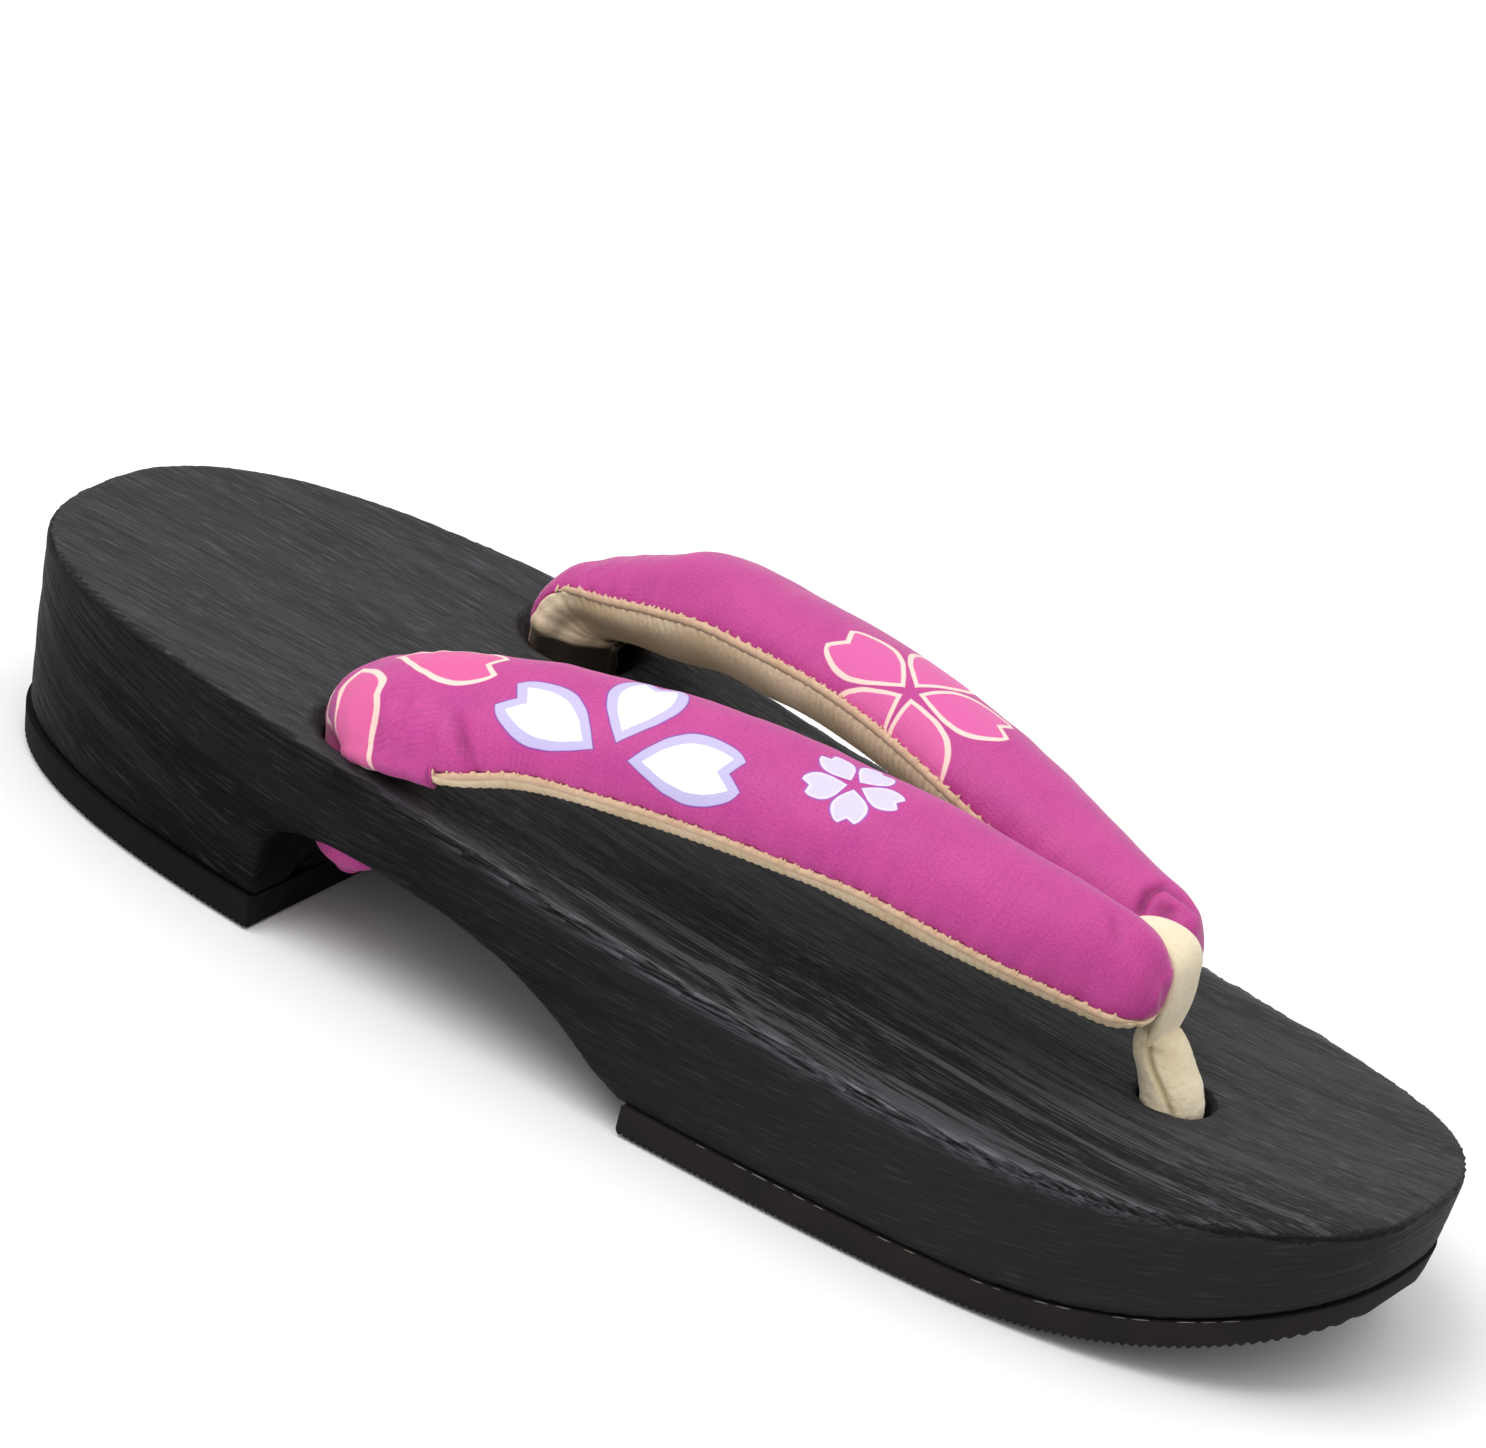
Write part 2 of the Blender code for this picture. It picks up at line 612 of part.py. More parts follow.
def toe_post(parts, cutters):
    """The post through the front hole, its loop around the fold, and its knot in the recess."""
    center = fold_center(strap_stations())
    low = deck_underside(FRONT_HOLE_X) + 0.5 * KNOT_RECESS_DEPTH
    high = center.z - POST_TOP_BELOW_FOLD
    waist_x = center.x + LOOP_OVER[0][0] * LOOP_AHEAD
    centers = []
    radii = []
    for up, back, radius in POST:
        x = FRONT_HOLE_X + back * (waist_x - FRONT_HOLE_X)
        centers.append(Vector((x, 0.0, low + up * (high - low))))
        radii.append(radius * POST_RADIUS)
    forward = [Vector((1.0, 0.0, 0.0))] * len(centers)
    vertices, faces = tube(centers, forward, radii, radii, 2.0, 20)
    post = link("toe_post", new_mesh("toe_post", vertices, faces), parts, (0.80, 0.70, 0.50), 0.95)

    loops = [loop_band("loop_over", LOOP_OVER, center), loop_band("loop_under", LOOP_UNDER, center)]

    knot_mesh = bpy.data.meshes.new("knot")
    work = bmesh.new()
    bmesh.ops.create_uvsphere(work, u_segments=20, v_segments=10, radius=1.0)
    knot_radius = KNOT_RECESS_RADIUS - KNOT_CLEARANCE
    knot_half = KNOT_RECESS_DEPTH / 2 - KNOT_CLEARANCE
    bmesh.ops.scale(work, vec=(knot_radius, knot_radius, knot_half), verts=work.verts)
    work.to_mesh(knot_mesh)
    work.free()
    knot = bpy.data.objects.new("knot", knot_mesh)
    knot.location = (FRONT_HOLE_X, 0.0, low)
    for piece in (*loops, knot):
        piece.hide_render = True
        piece.display_type = "WIRE"
        cutters.objects.link(piece)
        combine(post, piece, "UNION")
    return post


def main():
    for item in list(bpy.data.objects):
        bpy.data.objects.remove(item, do_unlink=True)
    parts = bpy.data.collections.new("geta_sandal")
    cutters = bpy.data.collections.new("cutters")
    for collection in (parts, cutters):
        bpy.context.scene.collection.children.link(collection)
    wooden_deck(parts, cutters)
    rubber_pads(parts)
    strap_cover(parts, cutters)
    strap_linings(parts)
    toe_post(parts, cutters)


main()
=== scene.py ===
"""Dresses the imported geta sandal: scorched wood, rubber pads, padded fabric straps and a fleece toe post.

Laid out as an add-on and run as a script. Metres, +X to the toe, +Z up, the floor at z = 0.
"""
import math

import bmesh
import bpy
import numpy as np
from mathutils import Matrix, Vector


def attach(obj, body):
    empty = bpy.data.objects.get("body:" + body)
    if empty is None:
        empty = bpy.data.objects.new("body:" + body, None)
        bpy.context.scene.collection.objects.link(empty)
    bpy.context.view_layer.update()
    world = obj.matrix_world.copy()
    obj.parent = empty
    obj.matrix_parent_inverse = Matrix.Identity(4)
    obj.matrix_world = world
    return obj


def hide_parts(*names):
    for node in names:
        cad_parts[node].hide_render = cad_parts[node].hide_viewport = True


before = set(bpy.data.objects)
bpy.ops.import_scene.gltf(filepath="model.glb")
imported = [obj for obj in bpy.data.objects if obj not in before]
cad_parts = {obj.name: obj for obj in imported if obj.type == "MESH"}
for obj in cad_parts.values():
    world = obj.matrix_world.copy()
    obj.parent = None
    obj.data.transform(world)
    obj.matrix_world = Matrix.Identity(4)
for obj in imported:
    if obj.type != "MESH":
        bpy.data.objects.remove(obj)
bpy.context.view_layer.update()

bl_info = {
    "name": "Geta sandal looks",
    "version": (1, 0, 0),
    "blender": (4, 5, 0),
    "location": "3D View > Sidebar > Geta",
    "description": "Builds the visible surfaces of a low wooden geta around its packed model",
    "category": "Object",
}

MM = 0.001
SAME_POINT = 0.002 * MM  # points closer than this are one

# The deck's own sizes, as its solid has them
LENGTH = 240.0 * MM
HALF_WIDTH = 42.6 * MM
SIDE_BOW = 3.0 * MM
END_SQUARENESS = 4.0
CORNER_ROUNDNESS = 2.65
HEEL_HEIGHT = 33.4 * MM
BALL_HEIGHT = 24.5 * MM
TOE_HEIGHT = 28.7 * MM
TOE_SPRING = 12.0 * MM
TOE_SPRING_LENGTH = 50.0 * MM
REAR_LEAN = 5.0 * MM
TOE_LEAN = 4.0 * MM
SIDE_LEAN = 0.7 * MM
PAD_THICKNESS = 4.6 * MM
HEEL_END = -LENGTH / 2
HEEL_BLOCK_FRONT = HEEL_END + 63.4 * MM
FOREFOOT_REAR = HEEL_END + 133.3 * MM
SPRING_START = -HEEL_END - TOE_SPRING_LENGTH
DECK_TOP = (
    # along, heel, toe
    (0.000, 0.955, 0.00),
    (0.125, 1.000, 0.00),
    (0.250, 0.935, 0.00),
    (0.375, 0.740, 0.00),
    (0.500, 0.440, 0.00),
    (0.625, 0.190, 0.00),
    (0.750, 0.020, 0.00),
    (0.875, 0.000, 0.26),
    (1.000, 0.000, 1.00),
)

# The strap's own sizes, as its solids have them
FRONT_HOLE_X = HEEL_END + 198.0 * MM
REAR_HOLE_X = HEEL_END + 72.6 * MM
REAR_HOLE_Y = 27.5 * MM
STRAP_TIP_X = FRONT_HOLE_X - 6.0 * MM
STRAP_WIDTH = 23.4 * MM
STRAP_CROWN = 9.4 * MM
STRAP_DEPTH = 6.5 * MM
STRAP_RISE = 20.7 * MM
STRAP_TAIL = 21.0 * MM
STRAP_BANK = math.radians(19.0)
STRAP_TURN = math.radians(38.0)
FULL_WRAP = math.radians(86.0)
STRAP = np.array((
    # along, across, tail, rise, width, crown, depth, bank, turn, wrap
    (0.000, 1.000, 1.000, 0.00, 0.22, 0.22, 0.32, 0.00, 1.00, 1.00),
    (0.000, 1.000, 0.975, 0.00, 0.46, 0.44, 0.66, 0.00, 1.00, 1.00),
    (0.000, 1.000, 0.900, 0.00, 0.63, 0.62, 0.92, 0.00, 1.00, 1.00),
    (0.000, 1.000, 0.780, 0.00, 0.66, 0.65, 0.97, 0.00, 1.00, 1.00),
    (0.000, 1.000, 0.690, 0.00, 0.58, 0.68, 1.00, 0.00, 1.00, 1.00),
    (0.000, 1.000, 0.560, 0.00, 0.58, 0.72, 1.04, 0.00, 1.00, 0.94),
    (0.000, 1.000, 0.400, 0.00, 0.58, 0.73, 1.05, 0.00, 1.00, 0.45),
    (0.000, 1.000, 0.250, 0.00, 0.58, 0.73, 1.05, 0.00, 1.00, 0.00),
    (-0.002, 1.000, 0.100, 0.00, 0.58, 0.72, 1.00, 0.00, 1.00, 0.00),
    (-0.006, 1.010, 0.000, 0.08, 0.63, 0.84, 0.90, 0.15, 0.78, 0.00),
    (0.002, 1.045, 0.000, 0.20, 0.73, 0.90, 0.76, 0.36, 0.40, 0.00),
    (0.025, 1.088, 0.000, 0.31, 0.86, 0.88, 0.76, 0.62, 0.12, 0.00),
    (0.065, 1.122, 0.000, 0.41, 0.97, 0.90, 0.86, 0.88, 0.02, 0.00),
    (0.128, 1.106, 0.000, 0.52, 1.03, 0.93, 0.97, 1.00, 0.00, 0.00),
    (0.208, 1.019, 0.000, 0.71, 0.99, 0.95, 1.00, 0.86, 0.00, 0.00),
    (0.316, 0.916, 0.000, 0.86, 1.00, 0.98, 1.00, 0.84, 0.00, 0.00),
    (0.416, 0.821, 0.000, 0.96, 1.00, 0.99, 1.00, 0.84, 0.00, 0.00),
    (0.524, 0.705, 0.000, 1.00, 0.98, 1.00, 1.00, 0.80, 0.00, 0.00),
    (0.648, 0.570, 0.000, 0.98, 0.94, 1.00, 0.98, 0.64, 0.00, 0.00),
    (0.765, 0.466, 0.000, 0.90, 0.88, 1.00, 0.92, 0.58, 0.00, 0.00),
    (0.856, 0.383, 0.000, 0.81, 0.77, 1.00, 0.80, 0.54, 0.00, 0.00),
    (0.923, 0.320, 0.000, 0.72, 0.61, 0.97, 0.66, 0.44, 0.00, 0.00),
    (0.964, 0.279, 0.000, 0.67, 0.50, 0.86, 0.56, 0.34, 0.00, 0.00),
    (0.990, 0.256, 0.000, 0.65, 0.39, 0.68, 0.44, 0.24, 0.00, 0.00),
    (1.000, 0.245, 0.000, 0.64, 0.23, 0.40, 0.28, 0.14, 0.00, 0.00),
))
DECK_ROW = 9  # the row of the table that lies in the deck's upper face
LINING_ROW = 7  # the row where the lining begins
FOLD_ROW = -3  # the row beside which the fold lies
FOLD_RADIUS = 3.2 * MM
FOLD_BEHIND_TIP = 4.5 * MM
LOOP_WIDTH = 8.2 * MM
LOOP_THICKNESS = 2.2 * MM
POST_RADIUS = 4.8 * MM
CLEARANCE = 0.3 * MM
LOOP_AHEAD = FOLD_BEHIND_TIP + CLEARANCE + LOOP_THICKNESS / 2
LOOP_ABOVE = FOLD_RADIUS + CLEARANCE + LOOP_THICKNESS / 2
POST = (
    # up, back, radius
    (0.00, 0.00, 0.96),
    (0.30, 0.00, 0.98),
    (0.56, 0.00, 1.00),
    (0.66, 0.07, 1.01),
    (0.75, 0.28, 1.01),
    (0.84, 0.58, 0.96),
    (0.92, 0.82, 0.88),
    (1.00, 1.00, 0.80),
)
LOOP_OVER = (
    # forward, up, width
    (0.84, -2.30, 0.92),
    (0.92, -1.80, 1.00),
    (0.97, -1.35, 1.05),
    (1.00, -0.90, 1.05),
    (1.00, -0.10, 1.02),
    (0.94, 0.52, 1.00),
    (0.66, 0.94, 1.00),
    (0.16, 1.06, 0.96),
    (-0.36, 1.02, 0.80),
    (-0.74, 0.74, 0.48),
    (-0.88, 0.20, 0.34),
    (-0.86, -0.42, 0.34),
    (-0.70, -0.90, 0.34),
)
LOOP_UNDER = (
    # forward, up, width
    (-0.76, -0.86, 0.30),
    (-0.30, -1.04, 0.32),
    (0.30, -1.06, 0.34),
    (0.96, -1.10, 0.34),
)

PITH = (0.0, -0.005, 0.045)  # minus the middle of the growth rings, which lies below the deck
LEG_GAP = 200.0  # mm in the strap's own map between the right leg's u and the left leg's
# What each soft leg adds to its solid, in mm at u mm along the leg
RIGHT_SHAPE = np.array((
    # u, forward, outward, up, half, crown, depth
    (0.0, 0.0, 0.0, -0.8, 0.0, 0.0, 0.0),
    (14.0, -2.0, 0.6, 0.0, -0.2, -0.9, 0.0),
    (21.0, -2.6, 0.5, -0.2, 0.0, -2.0, 0.2),
    (26.0, -2.0, 0.4, -0.4, 0.0, -2.4, 0.4),
    (31.0, -1.1, 0.2, -0.1, 0.0, -1.5, 0.5),
    (36.0, -0.4, 0.0, 0.0, 0.0, -0.5, 0.3),
    (44.0, 0.0, 0.0, 0.0, 0.0, -0.2, 0.1),
    (57.0, 0.0, 0.0, 0.0, 0.0, -0.4, 0.0),
    (72.0, 0.0, 0.0, 0.0, 0.0, 0.4, 0.0),
    (81.0, 0.0, 0.0, 0.0, 0.0, 0.4, 0.0),
    (90.0, 0.0, 0.0, 0.0, 0.0, 0.0, 0.0),
    (98.0, 0.0, 0.0, 0.0, 0.0, 0.1, 0.0),
    (107.0, 0.0, 0.0, 0.3, 0.0, 0.9, 0.0),
    (118.0, 0.0, -0.1, 0.5, 0.1, 1.0, 0.0),
    (128.0, 0.0, -0.2, 0.8, 0.3, 1.5, 0.0),
    (136.0, -0.2, -0.5, 1.0, 0.7, 2.2, 0.0),
    (143.0, -0.3, -0.7, 1.1, 1.2, 2.8, 0.0),
    (148.0, 0.0, -0.5, 1.1, 1.8, 3.1, 0.2),
    (151.0, 0.2, -0.4, 1.0, 2.0, 3.3, 0.2),
))
LEFT_SHAPE = np.array((
    # u, forward, outward, up, half, crown, depth
    (0.0, 0.0, 0.0, 0.0, 0.0, 0.0, -1.0),
    (14.0, -0.8, 0.4, -0.2, 0.0, -0.2, -2.2),
    (20.0, -1.4, 0.4, -0.3, 0.0, -1.2, -2.2),
    (25.0, -1.8, 0.3, -0.5, 0.0, -1.6, -0.8),
    (30.0, -1.6, 0.2, -0.6, 0.2, -1.0, 0.0),
    (36.0, -0.8, 0.0, -0.5, 0.0, 0.3, 0.0),
    (44.0, 0.0, 0.0, -0.2, 0.0, 2.2, 0.0),
    (55.0, 0.0, 0.0, 0.1, 0.0, 1.1, 0.0),
    (61.0, 0.0, 0.0, 0.0, 0.0, 0.5, 0.1),
    (69.0, 0.0, 0.0, 0.0, 0.0, 0.3, 0.2),
    (82.0, 0.0, 0.0, 0.0, 0.0, 0.1, 0.2),
    (94.0, 0.0, 0.0, 0.0, 0.0, -0.1, 0.0),
    (104.0, 0.0, 0.0, 0.0, 0.0, 0.0, 0.0),
    (132.0, 0.0, 0.0, 0.0, 0.0, 0.0, 0.0),
    (143.0, -0.4, 0.2, 0.6, 0.4, 0.5, -1.0),
    (148.0, -1.4, 0.2, 1.2, 0.5, 0.6, -2.0),
    (151.0, -2.5, 0.2, 1.5, 0.5, 0.6, -2.6),
))
SMOOTHING = 2.2 * MM  # the length of leg over which its sections are evened out
LEAST_DEPTH = 0.6 * MM
COVER_WALL = 1.4 * MM
FOLD_WALL = 0.9 * MM
LINING_WALL = 0.8 * MM
RIB_DEPTH = 0.55 * MM  # of the ribs under the pads
PAD_LIP = 0.25 * MM  # how far a pad's rounded upper edge stands above the seam
PAD_ROUNDING = 0.15 * MM
HEEL_PAD_PROUD = 0.7 * MM
FOREFOOT_PAD_PROUD = 0.3 * MM
KNOT_RADIUS = 8.0 * MM
KNOT_HALF_HEIGHT = 2.6 * MM
KNOT_MIDDLE = 3.5 * MM  # above the recess's lower edge
TUCK_LENGTH = 18.5  # mm of leg above the deck whose outer side is wrapped in the cover
TUCK_WRAP = math.radians(80.0)
# Heights of the soft pieces' relief, in mm
COVER_PUFF = 0.30
COVER_UNEVEN = 0.12
COVER_PUCKER = 0.16
COVER_SEAM = 0.22
KNEE_WAVE = 0.20
KNEE_HANG = 0.7
TIP_GATHER = 0.22
TUCK_PUFF = 0.70
VELVET_RIB = 0.09
VELVET_PUFF = 0.22
VELVET_PUCKER = 0.14
VELVET_GATHER = 0.26
POST_CREASE = 0.55
POST_BACK_CREASE = 0.45
POST_WAIST = 0.35
# Rows along a leg and columns around it
COVER_ROWS = 250
COVER_COLUMNS = 54
LINING_ROWS = 420
LINING_COLUMNS = 26

# The print, in the strap's own map: u along the leg in mm from its lower end, v around it from the crown
ALL_PETALS = -9  # a first petal before any there is; with 0, the two under the seam are left unprinted
BLOSSOMS = (
    # name, (u, v), turn, length, width, notch, point, first petal, rim, and colours of line, rim and fill
    ("small_lavender", (99.3, -0.3), 0.087, 7.2, 5.9, 0.8, 0.6, ALL_PETALS, 0.45,
     "#9A4FA8", "#DCD3F4", "#CFC6F2"),
    ("large_white", (66.8, -10.4), -0.21, 18.9, 11.8, 1.9, 2.3, 0, 1.7,
     "#8A3F9A", "#BDB4DE", "#F4F2FC"),
    ("rear_pink", (26.8, 4.9), 0.05, 20.8, 12.4, 1.9, 2.2, ALL_PETALS, 1.0,
     "#B83E8A", "#F6CFC4", "#D65896"),
    ("left_pink", (LEG_GAP + 90.6, 8.6), 0.576, 15.9, 11.8, 1.6, 0.7, ALL_PETALS, 0.9,
     "#B83E8A", "#F6CFC4", "#D45A9E"),
)

# The photograph's camera, found from the deck's edges in the image of 1486 by 1448 pixels
CAMERA_PLACE = (0.508424, -1.065983, 0.612659)
CAMERA_TURN = (-25.2102, 26.0064, 15.7888)  # yaw, pitch and roll in degrees
FOCAL_LENGTH = 9000.0  # pixels
IMAGE_MIDDLE = (743.0, 724.0)  # pixels
OPTICAL_CENTER = (792.069, 807.964)  # pixels
SENSOR_WIDTH = 36.0  # mm
LENS = 218.03  # mm
FLOOR_REACH = 4.0  # metres from the middle to each edge
FLOOR_GAP = 0.2 * MM  # keeps the pads' faces clear of the floor's


class GetaLooks(bpy.types.PropertyGroup):
    """Sizes and colours that a user would change."""

    grain_depth: bpy.props.FloatProperty(
        name="Grain depth", description="Height of the raised wood grain",
        default=0.16 * MM, min=0.0, unit="LENGTH",
    )
    voxel: bpy.props.FloatProperty(
        name="Deck mesh size", description="Edge length of the deck's fine mesh",
        default=0.86 * MM, min=0.6 * MM, unit="LENGTH",
    )
    stitch_pitch: bpy.props.FloatProperty(
        name="Stitch pitch", description="Distance between stitches along the strap's seams",
        default=2.2 * MM, min=0.5 * MM, unit="LENGTH",
    )
    rib_pitch: bpy.props.FloatProperty(
        name="Tread pitch", description="Distance between the fine ribs under the rubber pads",
        default=1.15 * MM, min=0.4 * MM, unit="LENGTH",
    )
    velvet_pitch: bpy.props.FloatProperty(
        name="Velvet rib pitch", description="Distance between the ribs of the lining",
        default=1.3 * MM, min=0.4 * MM, unit="LENGTH",
    )
    wood: bpy.props.StringProperty(
        name="Wood", description="Colour of the stained wood, sRGB hex", default="#26272A",
    )
    fabric: bpy.props.StringProperty(
        name="Strap fabric", description="Colour of the strap's cover, sRGB hex", default="#C1418D",
    )
    lining: bpy.props.StringProperty(
        name="Lining", description="Colour of the velvet lining, sRGB hex", default="#F0D9BB",
    )
    fleece: bpy.props.StringProperty(
        name="Toe post", description="Colour of the fleece toe post, sRGB hex", default="#F4E6C6",
    )
    rubber: bpy.props.StringProperty(
        name="Rubber", description="Colour of the rubber pads, sRGB hex", default="#292523",
    )
    floor: bpy.props.StringProperty(
        name="Floor", description="Colour of the studio floor, sRGB hex", default="#F4F4F4",
    )
    key_power: bpy.props.FloatProperty(
        name="Key light", description="Power of the large soft light", default=6.5, unit="POWER",
    )


# ---- small helpers


def linear(code):
    """Linear colour with alpha 1 of an sRGB hex code."""
    parts = [int(code[i:i + 2], 16) / 255 for i in (1, 3, 5)]
    return (*[c / 12.92 if c <= 0.04045 else ((c + 0.055) / 1.055) ** 2.4 for c in parts], 1.0)


def wire(tree, node, inputs):
    """Gives each input named its value, its link, or a link to another node's first output in use."""
    for key, value in inputs.items():
        if isinstance(value, bpy.types.Node):
            value = next(socket for socket in value.outputs if socket.enabled)
        if isinstance(value, bpy.types.NodeSocket):
            tree.links.new(value, node.inputs[key])
        else:
            node.inputs[key].default_value = value


def add(tree, kind, inputs=None, **settings):
    """Adds a node with its settings and its inputs."""
    node = tree.nodes.new(kind)
    for key, value in settings.items():
        setattr(node, key, value)
    wire(tree, node, inputs or {})
    return node


def new_material(name, roughness, **sockets):
    """A material with its Principled shader's plain values set, and its node tree."""
    material = bpy.data.materials.new(name)
    material.use_nodes = True
    shader = material.node_tree.nodes["Principled BSDF"]
    shader.inputs["Roughness"].default_value = roughness
    for key, value in sockets.items():
        shader.inputs[key.replace("_", " ")].default_value = value
    return material, material.node_tree, shader


def lattice_noise(x, y, seed):
    """Smooth noise from -1 to 1 that changes over about one unit of x and y."""
    grid = np.random.default_rng(seed).uniform(-1.0, 1.0, (256, 256))
    x, y = np.broadcast_arrays(np.asarray(x, float), np.asarray(y, float))
    column, row = np.floor(x).astype(int), np.floor(y).astype(int)
    fx, fy = x - column, y - row
    fx, fy = fx * fx * (3 - 2 * fx), fy * fy * (3 - 2 * fy)
    corner = [grid[(column + i) & 255, (row + j) & 255] for i in (0, 1) for j in (0, 1)]
    low = corner[0] * (1 - fy) + corner[1] * fy
    high = corner[2] * (1 - fy) + corner[3] * fy
    return low * (1 - fx) + high * fx


def hermite(xs, ys, x):
    """Values of the smooth curve through (xs, ys), as the solid's own curves are drawn."""
    xs, ys = np.asarray(xs, float), np.asarray(ys, float).reshape(len(xs), -1)
    x = np.atleast_1d(np.asarray(x, float))
    steps = np.diff(xs)[:, None]
    slopes = np.diff(ys, axis=0) / steps
    ends = np.vstack([slopes[:1], (slopes[1:] + slopes[:-1]) / 2, slopes[-1:]])
    i = np.clip(np.searchsorted(xs, x) - 1, 0, len(steps) - 1)
    t = np.clip((x - xs[i]) / steps[i, 0], 0.0, 1.0)[:, None]
    rise = (2 * t**3 - 3 * t**2 + 1) * ys[i] + (3 * t**2 - 2 * t**3) * ys[i + 1]
    return rise + ((t**3 - 2 * t**2 + t) * ends[i] + (t**3 - t**2) * ends[i + 1]) * steps[i]


def smoothed(values, passes):
    """Averages each row with its neighbours, passes times; the end rows stay."""
    for _pass in range(passes):
        values[1:-1] = 0.25 * values[:-2] + 0.5 * values[1:-1] + 0.25 * values[2:]
    return values


def run_lengths(points):
    """Length from the first point of a path to each of its points."""
    return np.concatenate([[0.0], np.cumsum(np.linalg.norm(np.diff(points, axis=0), axis=1))])


def deck_top(x):
    """Height of the deck's upper face at each x."""
    table = np.array(DECK_TOP)
    shares = hermite(table[:, 0], table[:, 1:], (np.atleast_1d(x) - HEEL_END) / LENGTH)
    return BALL_HEIGHT + shares @ np.array([HEEL_HEIGHT - BALL_HEIGHT, TOE_HEIGHT - BALL_HEIGHT])


def spring(x):
    """Height of the toe spring at each x."""
    return TOE_SPRING * np.maximum(0.0, (np.atleast_1d(x) - SPRING_START) / TOE_SPRING_LENGTH) ** 2


def half_width(x):
    """Half of the deck's width at each x."""
    share = np.minimum(1.0, np.abs(np.atleast_1d(x)) / (LENGTH / 2))
    ends = np.maximum(0.0, 1.0 - share**END_SQUARENESS) ** (1 / CORNER_ROUNDNESS)
    return (HALF_WIDTH - SIDE_BOW * share**2) * ends


def clean(mesh, merge=0.0, outwards=False):
    """Merges points closer than the distance given, and turns the faces outwards where asked."""
    work = bmesh.new()
    work.from_mesh(mesh)
    if merge:
        bmesh.ops.remove_doubles(work, verts=work.verts, dist=merge)
    if outwards:
        bmesh.ops.recalc_face_normals(work, faces=work.faces)
    work.to_mesh(mesh)
    work.free()


def new_piece(mesh, material=None):
    """An object of the mesh's own name, at the origin."""
    if material:
        mesh.materials.append(material)
    piece = bpy.data.objects.new(mesh.name, mesh)
    bpy.context.scene.collection.objects.link(piece)
    return piece


def closed_piece(name, points, faces, material, merge=0.0):
    """A smooth closed piece from world points."""
    mesh = bpy.data.meshes.new(name)
    mesh.from_pydata(points.tolist(), [], faces)
    clean(mesh, merge, outwards=True)
    mesh.shade_smooth()
    return new_piece(mesh, material)


def grid_faces(rows, columns, closed=False, start=0):
    """Quads of a grid of points, whose rows may be closed rings."""
    i, j = np.meshgrid(np.arange(rows - 1), np.arange(columns if closed else columns - 1), indexing="ij")
    k = (j + 1) % columns
    quads = np.stack([i * columns + j, i * columns + k, (i + 1) * columns + k, (i + 1) * columns + j], -1)
    return (quads.reshape(-1, 4) + start).tolist()


def applied(piece):
    """The piece with its modifiers' result as its plain mesh."""
    bpy.context.view_layer.update()
    seen = piece.evaluated_get(bpy.context.evaluated_depsgraph_get())
    mesh = bpy.data.meshes.new_from_object(seen)
    piece.modifiers.clear()
    piece.data = mesh
    return piece


def finish_piece(piece, slot, *nodes):
    """Every piece rides on the one body and stands for the nodes named, whose parts are hidden; the slot is
    not used.
    """
    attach(piece, "root")
    if nodes:
        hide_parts(*nodes)


def write_attribute(mesh, name, values):
    """One number at each vertex."""
    mesh.attributes.new(name, "FLOAT", "POINT").data.foreach_set("value", np.asarray(values, np.float32))


# ---- materials


